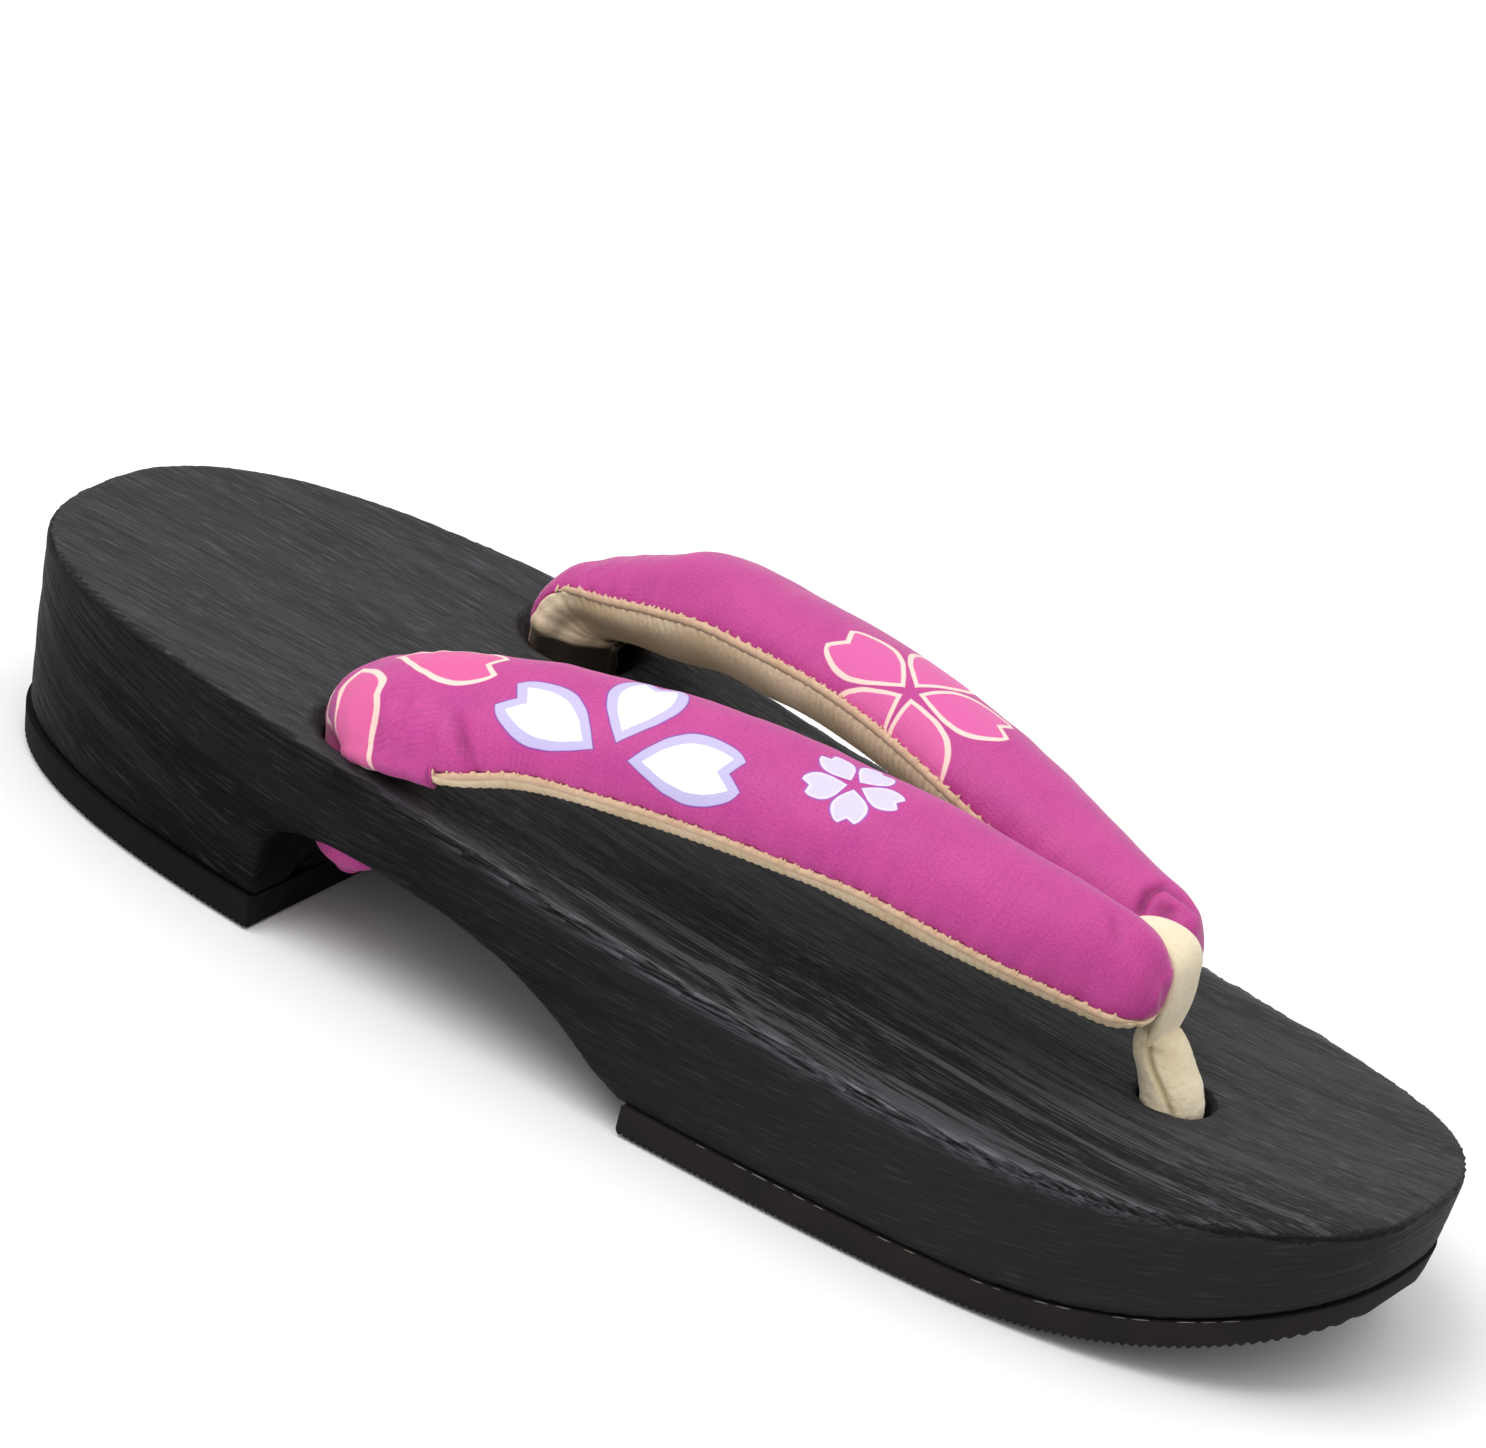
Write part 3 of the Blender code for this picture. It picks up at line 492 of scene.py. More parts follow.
def scorched_paulownia(looks):
    """Paulownia, scorched, brushed and stained black: raised lengthwise grain, a low sheen on the ridges.

    The top, rubbed by wear, takes a sheen at low angles, less in the painted shade beside the right leg; the
    sides are darker and matt, with growth rings as fine lines.
    """
    material, tree, shader = new_material("scorched_brushed_paulownia", 0.55)
    place = add(tree, "ShaderNodeTexCoord").outputs["Object"]
    bend = add(tree, "ShaderNodeTexNoise", {"Vector": place, "Scale": 14.0, "Detail": 2.0})
    bent = add(tree, "ShaderNodeVectorMath",
               {0: bend.outputs["Color"], 1: (0.0, 0.006, 0.006), 2: place}, operation="MULTIPLY_ADD")
    side = add(tree, "ShaderNodeAttribute", attribute_name="side").outputs["Fac"]
    # growth rings around a pith below the deck, as one height for each point
    pith = add(tree, "ShaderNodeVectorMath", {0: bent, 1: (0.0, 1.0, 1.0), 2: PITH},
               operation="MULTIPLY_ADD")
    ring = add(tree, "ShaderNodeVectorMath", {0: pith}, operation="LENGTH").outputs["Value"]
    part = add(tree, "ShaderNodeSeparateXYZ", {0: bent})
    chart = add(tree, "ShaderNodeCombineXYZ", {"X": part.outputs["X"], "Y": ring, "Z": 0.0})
    seen = add(tree, "ShaderNodeMix", {0: side, 4: bent, 5: chart}, data_type="VECTOR")
    # fibres 20 mm long and 0.5 mm wide
    at = add(tree, "ShaderNodeMapping", {"Vector": seen, "Scale": (50.0, 1900.0, 1900.0)})
    fibre = add(tree, "ShaderNodeTexNoise", {"Vector": at, "Scale": 1.0, "Detail": 4.0, "Roughness": 0.66})
    # bands of rings 4 mm apart
    at = add(tree, "ShaderNodeMapping", {"Vector": seen, "Scale": (9.0, 250.0, 250.0)})
    band = add(tree, "ShaderNodeTexNoise", {"Vector": at, "Scale": 1.0, "Detail": 3.0, "Roughness": 0.5})
    # short broken fibres, pale dashes of 7 mm by 0.4 mm
    at = add(tree, "ShaderNodeMapping", {"Vector": seen, "Scale": (150.0, 2700.0, 2700.0)})
    dash = add(tree, "ShaderNodeTexNoise", {"Vector": at, "Scale": 1.0, "Detail": 1.0})
    dash_mask = add(tree, "ShaderNodeMapRange",
                    {"Value": dash, "From Min": 0.58, "From Max": 0.72, "To Max": 0.55})
    tone = add(tree, "ShaderNodeMath", {0: fibre, 1: band}, operation="ADD")
    ramp = add(tree, "ShaderNodeMapRange", {"Value": tone, "From Min": 0.86, "From Max": 1.16})
    top = add(tree, "ShaderNodeMix",
              {0: ramp, 6: linear("#0E0E0F"), 7: linear(looks.wood)}, data_type="RGBA")
    # painted shade beside the right leg, where the strap hides the top from the bright sky and its
    # reflection; grain streaks still show in it
    along = add(tree, "ShaderNodeMapRange",
                {"Value": part.outputs["X"], "From Min": -0.05, "From Max": 0.01})
    beside = add(tree, "ShaderNodeMapRange",
                 {"Value": part.outputs["Y"], "From Min": -0.004, "From Max": -0.018})
    painted_strap_shade = add(tree, "ShaderNodeMath", {0: along, 1: beside}, operation="MULTIPLY")
    streak = add(tree, "ShaderNodeMapRange", {"Value": tone, "From Min": 1.00, "From Max": 1.14})
    shaded_streaked_top = add(tree, "ShaderNodeMix",
                   {0: streak, 6: linear("#050505"), 7: linear("#3F4044")}, data_type="RGBA")
    top = add(tree, "ShaderNodeMix", {0: painted_strap_shade, 6: top, 7: shaded_streaked_top}, data_type="RGBA")
    flank = add(tree, "ShaderNodeMix",
                {0: ramp, 6: linear("#090809"), 7: linear("#18181A")}, data_type="RGBA")
    ahead = add(tree, "ShaderNodeMapRange",
                {"Value": part.outputs["X"], "From Min": -0.03, "From Max": 0.06, "To Max": 0.75})
    flank = add(tree, "ShaderNodeMix", {0: ahead, 6: flank, 7: linear("#2A2A2D")}, data_type="RGBA")
    color = add(tree, "ShaderNodeMix", {0: side, 6: top, 7: flank}, data_type="RGBA")
    sparse = add(tree, "ShaderNodeMapRange", {"Value": side, "To Min": 1.0, "To Max": 0.35})
    dash_mask = add(tree, "ShaderNodeMath", {0: dash_mask, 1: sparse}, operation="MULTIPLY")
    lifted = add(tree, "ShaderNodeMix", {0: dash_mask, 6: color, 7: linear("#505156")}, data_type="RGBA")
    # lighter rim: wear and torn fibres, partly a painted highlight where the rounded edge catches the light
    edge = add(tree, "ShaderNodeAttribute", attribute_name="rim")
    at = add(tree, "ShaderNodeMapping", {"Vector": bent, "Scale": (110.0, 2600.0, 2600.0)})
    torn = add(tree, "ShaderNodeTexNoise", {"Vector": at, "Scale": 1.0, "Detail": 3.0})
    torn_mask = add(tree, "ShaderNodeMapRange", {"Value": torn, "From Min": 0.40, "From Max": 0.66})
    rim_wear_and_highlight = add(tree, "ShaderNodeMath", {0: edge.outputs["Fac"], 1: torn_mask}, operation="MULTIPLY")
    edged = add(tree, "ShaderNodeMix", {0: rim_wear_and_highlight, 6: lifted, 7: linear("#75767B")}, data_type="RGBA")
    rough = add(tree, "ShaderNodeMapRange",
                {"Value": fibre, "From Min": 0.3, "From Max": 0.7, "To Min": 0.70, "To Max": 0.46})
    # the sheen is lowered on the sides and in the painted shade beside the right leg
    dull = add(tree, "ShaderNodeMath", {0: painted_strap_shade, 1: 0.6, 2: side}, operation="MULTIPLY_ADD")
    sheen = add(tree, "ShaderNodeMapRange", {"Value": dull, "To Min": 0.38, "To Max": 0.06})
    height = add(tree, "ShaderNodeMath", {0: band, 1: 0.6, 2: fibre}, operation="MULTIPLY_ADD")
    bump = add(tree, "ShaderNodeBump", {"Height": height, "Strength": 1.0, "Distance": 0.55 * MM})
    wire(tree, shader, {"Base Color": edged, "Roughness": rough, "Specular IOR Level": sheen,
                        "Normal": bump})
    return material


def moulded_rubber(looks):
    """Moulded black rubber: matt, with a fine grain, slightly brown in front and blacker under the heel."""
    material, tree, shader = new_material("moulded_rubber", 0.85, Specular_IOR_Level=0.1)
    place = add(tree, "ShaderNodeTexCoord").outputs["Object"]
    cloud = add(tree, "ShaderNodeTexNoise", {"Vector": place, "Scale": 90.0, "Detail": 4.0})
    color = add(tree, "ShaderNodeMix",
                {0: cloud, 6: linear("#1B1A1A"), 7: linear(looks.rubber)}, data_type="RGBA")
    part = add(tree, "ShaderNodeSeparateXYZ", {0: place})
    behind = add(tree, "ShaderNodeMapRange",
                 {"Value": part.outputs["X"], "From Min": -0.01, "From Max": -0.06, "To Max": 0.85})
    color = add(tree, "ShaderNodeMix", {0: behind, 6: color, 7: linear("#0E0D0E")}, data_type="RGBA")
    grain = add(tree, "ShaderNodeTexNoise", {"Vector": place, "Scale": 2400.0, "Detail": 2.0})
    bump = add(tree, "ShaderNodeBump", {"Height": grain, "Strength": 0.5, "Distance": 0.12 * MM})
    wire(tree, shader, {"Base Color": color, "Normal": bump})
    return material


def blossom_group():
    """How far a point of the strap's map lies inside a petal of a five-petalled blossom, in mm."""
    group = bpy.data.node_groups.new("cherry_blossom", "ShaderNodeTree")
    group.interface.new_socket("Map", in_out="INPUT", socket_type="NodeSocketVector")
    group.interface.new_socket("Center", in_out="INPUT", socket_type="NodeSocketVector")
    for name in ("Turn", "Length", "Width", "Notch", "Point", "First"):
        group.interface.new_socket(name, in_out="INPUT", socket_type="NodeSocketFloat")
    group.interface.new_socket("Inside", in_out="OUTPUT", socket_type="NodeSocketFloat")
    given = add(group, "NodeGroupInput").outputs
    apart = add(group, "ShaderNodeVectorMath", {0: given["Map"], 1: given["Center"]}, operation="SUBTRACT")
    turned = add(group, "ShaderNodeVectorRotate", {"Vector": apart, "Angle": given["Turn"]},
                 rotation_type="Z_AXIS")
    part = add(group, "ShaderNodeSeparateXYZ", {0: turned})
    angle = add(group, "ShaderNodeMath", {0: part.outputs["Y"], 1: part.outputs["X"]}, operation="ARCTAN2")
    petal = 2 * math.pi / 5
    count = add(group, "ShaderNodeMath", {0: angle, 1: petal}, operation="DIVIDE")
    number = add(group, "ShaderNodeMath", {0: count}, operation="ROUND")
    folded = add(group, "ShaderNodeMath", {0: number, 1: -petal, 2: angle}, operation="MULTIPLY_ADD")
    unprinted = add(group, "ShaderNodeMath", {0: number, 1: given["First"]}, operation="LESS_THAN")
    reach = add(group, "ShaderNodeVectorMath", {0: apart}, operation="LENGTH").outputs["Value"]
    cosine = add(group, "ShaderNodeMath", {0: folded}, operation="COSINE")
    sine = add(group, "ShaderNodeMath", {0: folded}, operation="SINE")
    ahead = add(group, "ShaderNodeMath", {0: reach, 1: cosine}, operation="MULTIPLY")
    across = add(group, "ShaderNodeMath", {0: reach, 1: sine}, operation="MULTIPLY")
    beside = add(group, "ShaderNodeMath", {0: across}, operation="ABSOLUTE")
    begun = add(group, "ShaderNodeMath", {0: ahead, 1: given["Point"]}, operation="SUBTRACT")
    whole = add(group, "ShaderNodeMath", {0: given["Length"], 1: given["Point"]}, operation="SUBTRACT")
    share = add(group, "ShaderNodeMath", {0: begun, 1: whole}, operation="DIVIDE")
    profile = add(group, "ShaderNodeFloatCurve", {"Value": share})
    curve = profile.mapping.curves[0]
    curve.points[0].location = (0.0, 0.0)
    curve.points[1].location = (1.0, 0.46)
    for x, y in ((0.02, 0.04), (0.22, 0.50), (0.42, 0.86), (0.60, 1.00), (0.82, 0.88)):
        curve.points.new(x, y)
    profile.mapping.update()
    half = add(group, "ShaderNodeMath", {0: given["Width"], 1: 0.5}, operation="MULTIPLY")
    flank = add(group, "ShaderNodeMath", {0: profile, 1: half}, operation="MULTIPLY")
    thin = add(group, "ShaderNodeMath", {0: flank, 1: 0.35}, operation="SUBTRACT")
    side = add(group, "ShaderNodeMath", {0: thin, 1: beside}, operation="SUBTRACT")
    mouth = add(group, "ShaderNodeMath", {0: half, 1: 0.40}, operation="MULTIPLY")
    lip = add(group, "ShaderNodeMath", {0: beside, 1: mouth}, operation="DIVIDE")
    vee = add(group, "ShaderNodeMath", {0: 1.0, 1: lip}, operation="SUBTRACT", use_clamp=True)
    cut = add(group, "ShaderNodeMath", {0: vee, 1: given["Notch"]}, operation="MULTIPLY")
    limit = add(group, "ShaderNodeMath", {0: given["Length"], 1: cut}, operation="SUBTRACT")
    tip = add(group, "ShaderNodeMath", {0: limit, 1: ahead}, operation="SUBTRACT")
    inside = add(group, "ShaderNodeMath", {0: side, 1: tip}, operation="MINIMUM")
    kept = add(group, "ShaderNodeMath", {0: unprinted, 1: -99.0, 2: inside}, operation="MULTIPLY_ADD")
    add(group, "NodeGroupOutput", {0: kept})
    return group


def printed_damask(looks):
    """Woven polyester damask with a screen print: soft sheen, tonal wavelets, blossoms with crisp edges."""
    material, tree, shader = new_material(
        "printed_polyester_damask", 0.58, Specular_IOR_Level=0.38, Sheen_Weight=0.18, Sheen_Roughness=0.4
    )
    chart = add(tree, "ShaderNodeUVMap", uv_map="strap_mm").outputs[0]
    # tonal wavelets: groups of about four short arcs 0.9 mm apart in cells of about 7 mm
    cell = add(tree, "ShaderNodeTexVoronoi", {"Vector": chart, "Scale": 0.15, "Randomness": 0.8})
    angle = add(tree, "ShaderNodeSeparateColor", {0: cell.outputs["Color"]})
    turn = add(tree, "ShaderNodeMapRange", {"Value": angle, "To Min": 0.2, "To Max": 1.7})
    apart = add(tree, "ShaderNodeVectorMath", {0: chart, 1: cell.outputs["Position"]}, operation="SUBTRACT")
    local = add(tree, "ShaderNodeVectorRotate", {"Vector": apart, "Angle": turn}, rotation_type="Z_AXIS")
    moved = add(tree, "ShaderNodeVectorMath", {0: local, 1: (6.0, 0.0, 0.0)})
    stroke = add(tree, "ShaderNodeTexWave", {"Vector": moved, "Scale": 0.34, "Distortion": 0.5},
                 wave_type="RINGS", rings_direction="SPHERICAL")
    group_mask = add(tree, "ShaderNodeMapRange",
                     {"Value": cell.outputs["Distance"], "From Min": 0.40, "From Max": 0.26})
    stroke_mask = add(tree, "ShaderNodeMapRange",
                      {"Value": stroke.outputs["Fac"], "From Min": 0.55, "From Max": 0.80})
    mark = add(tree, "ShaderNodeMath", {0: group_mask, 1: stroke_mask}, operation="MULTIPLY")
    mottle = add(tree, "ShaderNodeTexNoise", {"Vector": chart, "Scale": 2.2, "Detail": 2.0})
    drift = add(tree, "ShaderNodeTexNoise", {"Vector": chart, "Scale": 0.11, "Detail": 2.0})
    shown = add(tree, "ShaderNodeMapRange",
                {"Value": drift, "From Min": 0.42, "From Max": 0.58, "To Min": 0.08, "To Max": 0.36})
    # the wavelets fade towards the toe, where the cloth is stretched
    part = add(tree, "ShaderNodeSeparateXYZ", {0: chart})
    along = add(tree, "ShaderNodeMath", {0: part.outputs["X"], 1: LEG_GAP}, operation="FLOORED_MODULO")
    fade = add(tree, "ShaderNodeMapRange",
               {"Value": along, "From Min": 55.0, "From Max": 90.0, "To Min": 1.0, "To Max": 0.25})
    shown = add(tree, "ShaderNodeMath", {0: shown, 1: fade}, operation="MULTIPLY")
    faint = add(tree, "ShaderNodeMath", {0: mark, 1: shown}, operation="MULTIPLY")
    cloud = add(tree, "ShaderNodeMath", {0: mottle, 1: 1.8, 2: drift}, operation="MULTIPLY_ADD")
    cloud = add(tree, "ShaderNodeMapRange", {"Value": cloud, "From Min": 1.02, "From Max": 1.78})
    ground = add(tree, "ShaderNodeMix",
                 {0: cloud, 6: linear("#AE3385"), 7: linear(looks.fabric)}, data_type="RGBA")
    # thicker threads across the strap, one every millimetre or so
    slub_at = add(tree, "ShaderNodeMapping", {"Vector": chart, "Scale": (2.2, 0.14, 1.0)})
    slub = add(tree, "ShaderNodeTexNoise", {"Vector": slub_at, "Scale": 1.0, "Detail": 2.0})
    slub_mask = add(tree, "ShaderNodeMapRange",
                    {"Value": slub, "From Min": 0.52, "From Max": 0.68, "To Max": 0.30})
    woven = add(tree, "ShaderNodeMix", {0: slub_mask, 6: ground, 7: linear("#A3307C")}, data_type="RGBA")
    color = add(tree, "ShaderNodeMix", {0: faint, 6: woven, 7: linear("#8E2468")}, data_type="RGBA")
    group = blossom_group()
    for name, center, turn_by, length, width, notch, point, first, rim, *colors in BLOSSOMS:
        petal = add(tree, "ShaderNodeGroup", node_tree=group, name=name)
        wire(tree, petal, {"Map": chart, "Center": (*center, 0.0), "Turn": turn_by, "Length": length,
                           "Width": width, "Notch": notch, "Point": point, "First": first})
        # a fine dark line outside the petal, then its rim, then its fill, each with a soft edge
        for start, hex_code in zip((-0.28, 0.0, rim), colors):
            mask = add(tree, "ShaderNodeMapRange",
                       {"Value": petal, "From Min": start, "From Max": start + 0.16})
            color = add(tree, "ShaderNodeMix", {0: mask, 6: color, 7: linear(hex_code)}, data_type="RGBA")
    # painted shade in the creases, read from the attribute written on the strap's pieces
    fold = add(tree, "ShaderNodeAttribute", attribute_name="fold")
    shaded = add(tree, "ShaderNodeMix",
                 {0: fold.outputs["Fac"], 6: color, 7: linear("#6E1550")}, data_type="RGBA")
    # threads 0.25 mm apart in the real cloth, drawn 0.8 mm apart to show
    warp = add(tree, "ShaderNodeTexWave", {"Vector": chart, "Scale": 0.40, "Distortion": 2.0},
               bands_direction="X")
    weft = add(tree, "ShaderNodeTexWave", {"Vector": chart, "Scale": 0.40, "Distortion": 2.0},
               bands_direction="Y")
    weave = add(tree, "ShaderNodeMath", {0: warp.outputs["Fac"], 1: weft.outputs["Fac"]},
                operation="MULTIPLY")
    nubs = add(tree, "ShaderNodeMath", {0: weave, 1: 0.35, 2: mottle}, operation="MULTIPLY_ADD")
    height = add(tree, "ShaderNodeMath", {0: faint, 1: -1.2, 2: nubs}, operation="MULTIPLY_ADD")
    bump = add(tree, "ShaderNodeBump", {"Height": height, "Strength": 0.4, "Distance": 0.16 * MM})
    wire(tree, shader, {"Base Color": shaded, "Normal": bump})
    return material


def ribbed_velvet(looks):
    """Cotton velveteen with fine ribs: soft nap that is pale at grazing angles, with painted shade dark in
    the creases and the hole.
    """
    material, tree, shader = new_material(
        "ribbed_cotton_velveteen", 0.9, Specular_IOR_Level=0.2, Sheen_Weight=0.35, Sheen_Roughness=0.5
    )
    shader.inputs["Sheen Tint"].default_value = linear("#F1DFBB")
    place = add(tree, "ShaderNodeTexCoord").outputs["Object"]
    nap = add(tree, "ShaderNodeTexNoise", {"Vector": place, "Scale": 1500.0, "Detail": 3.0})
    patch = add(tree, "ShaderNodeTexNoise", {"Vector": place, "Scale": 110.0, "Detail": 2.0})
    tone = add(tree, "ShaderNodeMath", {0: nap, 1: 0.5, 2: patch}, operation="MULTIPLY_ADD")
    ramp = add(tree, "ShaderNodeMapRange", {"Value": tone, "From Min": 0.5, "From Max": 1.0})
    color = add(tree, "ShaderNodeMix",
                {0: ramp, 6: linear("#D8BD98"), 7: linear(looks.lining)}, data_type="RGBA")
    # painted shade in the creases and painted shadow where the lining goes into the hole
    fold = add(tree, "ShaderNodeAttribute", attribute_name="fold")
    shaded = add(tree, "ShaderNodeMix",
                 {0: fold.outputs["Fac"], 6: color, 7: linear("#1C150D")}, data_type="RGBA")
    bump = add(tree, "ShaderNodeBump", {"Height": nap, "Strength": 0.5, "Distance": 0.2 * MM})
    wire(tree, shader, {"Base Color": shaded, "Normal": bump})
    return material


def rolled_edge():
    """Turned cotton edge with its sewing thread: matt, pinkish beige where the magenta shows through."""
    material, tree, shader = new_material(
        "turned_lining_edge", 0.8, Specular_IOR_Level=0.25, Sheen_Weight=0.3
    )
    place = add(tree, "ShaderNodeTexCoord").outputs["Object"]
    patch = add(tree, "ShaderNodeTexNoise", {"Vector": place, "Scale": 400.0, "Detail": 3.0})
    color = add(tree, "ShaderNodeMix",
                {0: patch, 6: linear("#BE967A"), 7: linear("#DDC0A1")}, data_type="RGBA")
    wire(tree, shader, {"Base Color": color})
    return material


def brushed_fleece(looks):
    """Brushed cotton fleece: thick matt nap, cream, greyer in its creases and sewn waist as painted shade.
    """
    material, tree, shader = new_material(
        "brushed_cotton_fleece", 0.95, Specular_IOR_Level=0.15, Sheen_Weight=0.45, Sheen_Roughness=0.6
    )
    place = add(tree, "ShaderNodeTexCoord").outputs["Object"]
    nap = add(tree, "ShaderNodeTexNoise",
              {"Vector": place, "Scale": 1300.0, "Detail": 4.0, "Roughness": 0.7})
    patch = add(tree, "ShaderNodeTexNoise", {"Vector": place, "Scale": 140.0, "Detail": 2.0})
    tone = add(tree, "ShaderNodeMath", {0: nap, 1: 0.6, 2: patch}, operation="MULTIPLY_ADD")
    ramp = add(tree, "ShaderNodeMapRange", {"Value": tone, "From Min": 0.5, "From Max": 1.1})
    color = add(tree, "ShaderNodeMix",
                {0: ramp, 6: linear("#E3D2AE"), 7: linear(looks.fleece)}, data_type="RGBA")
    # painted shade in the post's creases and at its sewn waist
    fold = add(tree, "ShaderNodeAttribute", attribute_name="fold")
    shaded = add(tree, "ShaderNodeMix",
                 {0: fold.outputs["Fac"], 6: color, 7: linear("#A98F5C")}, data_type="RGBA")
    bump = add(tree, "ShaderNodeBump", {"Height": nap, "Strength": 0.7, "Distance": 0.35 * MM})
    wire(tree, shader, {"Base Color": shaded, "Normal": bump})
    return material


def dried_glue():
    """Squeezed-out glue dried pale in the seam above the rubber."""
    material, _tree, shader = new_material("dried_contact_glue", 0.6)
    shader.inputs["Base Color"].default_value = linear("#7C7974")
    return material


# ---- deck and pads


def make_deck(looks):
    """The deck: a fine mesh of the solid with raised grain, long grooves and torn fibres along its edges."""
    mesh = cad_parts["wooden_deck"].data.copy()
    mesh.name = "wooden_deck_grain"
    clean(mesh, SAME_POINT / 2)
    mesh.materials.clear()
    piece = new_piece(mesh, scorched_paulownia(looks))
    remesh = piece.modifiers.new("fine", "REMESH")
    remesh.mode = "VOXEL"
    remesh.voxel_size = looks.voxel
    remesh.use_smooth_shade = True
    applied(piece)
    mesh = piece.data
    count = len(mesh.vertices)
    points = np.empty(count * 3)
    mesh.vertices.foreach_get("co", points)
    points = points.reshape(-1, 3)
    normals = np.empty(count * 3)
    mesh.vertex_normals.foreach_get("vector", normals)
    normals = normals.reshape(-1, 3)
    x, y, z = points.T / MM
    facing = np.clip((np.abs(normals[:, 2]) - 0.35) / 0.4, 0, 1)
    side = 1 - facing * (normals[:, 2] > 0)
    ring = np.hypot(y + PITH[1] / MM, z + PITH[2] / MM)
    q = ring * side + y * (1 - side) + 1.2 * lattice_noise(x / 45, (y + z) / 12, 5)
    relief = 0.55 * lattice_noise(x / 26, q / 1.9, 1)
    relief += 0.45 * lattice_noise(x / 40, q / 4.2, 2)
    groove = np.maximum(0.0, lattice_noise(x / 60, q / 2.6, 3) - 0.45) / 0.55
    relief -= 1.5 * groove
    slope = (half_width(points[:, 0] + 0.1 * MM) - half_width(points[:, 0] - 0.1 * MM)) / (0.2 * MM)
    inset = (half_width(points[:, 0]) - np.abs(points[:, 1])) / np.sqrt(1 + slope**2)
    below = deck_top(points[:, 0]) - points[:, 2]
    rim = np.exp(-((np.hypot(inset, below) / (1.7 * MM)) ** 2))
    torn = lattice_noise(x / 7, q / 1.3, 7)
    frayed = np.clip((x + 45) / 40, 0.05, 1) * np.clip((105 - x) / 25, 0.05, 1)
    relief -= rim * (0.2 + (0.2 + 0.9 * torn) * frayed)
    rim *= frayed
    flat = points[:, 2] < 6.5 * MM
    relief[flat] = np.minimum(relief[flat], 0.0)
    points += normals * (relief * looks.grain_depth)[:, None]
    # the front hole sits a little behind the solid's own
    near = np.hypot(points[:, 0] - FRONT_HOLE_X, points[:, 1]) / (7.0 * MM)
    pull = np.exp(-np.maximum(0.0, near - 1) ** 2 * 4) * (points[:, 2] > PAD_THICKNESS * 2)
    points[:, 0] -= 0.6 * MM * pull
    mesh.vertices.foreach_set("co", points.ravel())
    write_attribute(mesh, "rim", rim)
    write_attribute(mesh, "side", side)
    mesh.shade_smooth()
    finish_piece(piece, "charred_wood", "wooden_deck")


def make_pad(looks, name, node, start, end, proud, rubber):
    """One rubber pad: a rounded slab with fine ribs across its underside that notch its lower edge."""
    pitch = looks.rib_pitch
    inner = np.arange(start, end, pitch / 4)
    turn = np.pi - np.arange(1, 40) / 40 * np.pi / 2
    cap = np.abs(np.cos(turn)) ** (2 / END_SQUARENESS) * LENGTH / 2
    cap = cap if end > 0 else -cap
    extra = cap[(cap > start) & (cap < end)]
    xs = np.unique(np.round(np.concatenate([inner, extra, [start, end]]), 7))
    xs = xs[np.concatenate([[True], np.diff(xs) > 0.02 * MM])]
    width = half_width(xs)
    step = 0.05 * MM
    slope = (half_width(np.minimum(xs + step, -HEEL_END)) - half_width(np.maximum(xs - step, HEEL_END)))
    slope /= np.minimum(xs + step, -HEEL_END) - np.maximum(xs - step, HEEL_END)
    size = np.hypot(slope, 1.0)
    out_x, out_y = -slope / size, 1.0 / size
    closed = width < 0.02 * MM
    out_x[closed], out_y[closed] = np.sign(xs[closed]), 0.0
    flat = np.isclose(xs, start if end > 0 else end)
    out_x[flat] = 0.0
    under = spring(xs) if end > 0 else np.zeros(len(xs))
    rib = 0.5 - 0.5 * np.cos(2 * np.pi * xs / pitch)
    cut = RIB_DEPTH * rib
    top = under + PAD_THICKNESS
    levels = []  # height and inset of each ring, from the top down
    for a in np.radians([90, 60, 30, 0]):
        drop, inset = (1 - math.sin(a)) * PAD_ROUNDING, (1 - math.cos(a)) * PAD_ROUNDING
        levels.append((top + PAD_LIP - drop, inset))
    for share in (0.66, 0.33):
        levels.append((under + share * PAD_THICKNESS, 0.0))
    levels.append((under + 1.3 * MM, 0.0))
    levels.append((under + 0.5 * MM + cut * 0.9, 0.10 * MM * rib))
    levels.append((under + 0.12 * MM + cut, 0.30 * MM))
    levels.append((under + cut, 0.8 * MM))
    ring_x = np.concatenate([xs, xs[::-1]])
    sides = np.concatenate([np.ones(len(xs)), -np.ones(len(xs))])
    points = []
    for z, inset in levels:
        z = np.concatenate([z, z[::-1]])
        inset = np.broadcast_to(inset, len(xs))
        offset = proud - np.concatenate([inset, inset[::-1]])
        px = ring_x + np.concatenate([out_x, out_x[::-1]]) * offset
        py = sides * (np.concatenate([width, width[::-1]]) + np.concatenate([out_y, out_y[::-1]]) * offset)
        share = np.clip(1 - z / BALL_HEIGHT, 0, 1)
        back = (LENGTH / 2 - px) / LENGTH
        px = px + share * (REAR_LEAN * back - TOE_LEAN * (1 - back))
        py = py * (1 - share * SIDE_LEAN / HALF_WIDTH)
        points.append(np.column_stack([px, py, z]))
    count = len(ring_x)
    faces = grid_faces(len(levels), count, closed=True)
    last = (len(levels) - 1) * count
    for base in (0, last):
        for i in range(len(xs) - 1):
            faces.append((base + i, base + i + 1, base + count - 2 - i, base + count - 1 - i))
    piece = closed_piece(name, np.vstack(points), faces, rubber, SAME_POINT)
    piece.data.set_sharp_from_angle(angle=math.radians(50))
    finish_piece(piece, "sole_rubber", node)


def make_pads(looks):
    """Both rubber pads."""
    rubber = moulded_rubber(looks)
    for name, start, end, proud in (
        ("heel_rubber", HEEL_END, HEEL_BLOCK_FRONT, HEEL_PAD_PROUD),
        ("forefoot_rubber", FOREFOOT_REAR, -HEEL_END, FOREFOOT_PAD_PROUD),
    ):
        make_pad(looks, name + "_tread", name + "_sole", start, end, proud, rubber)


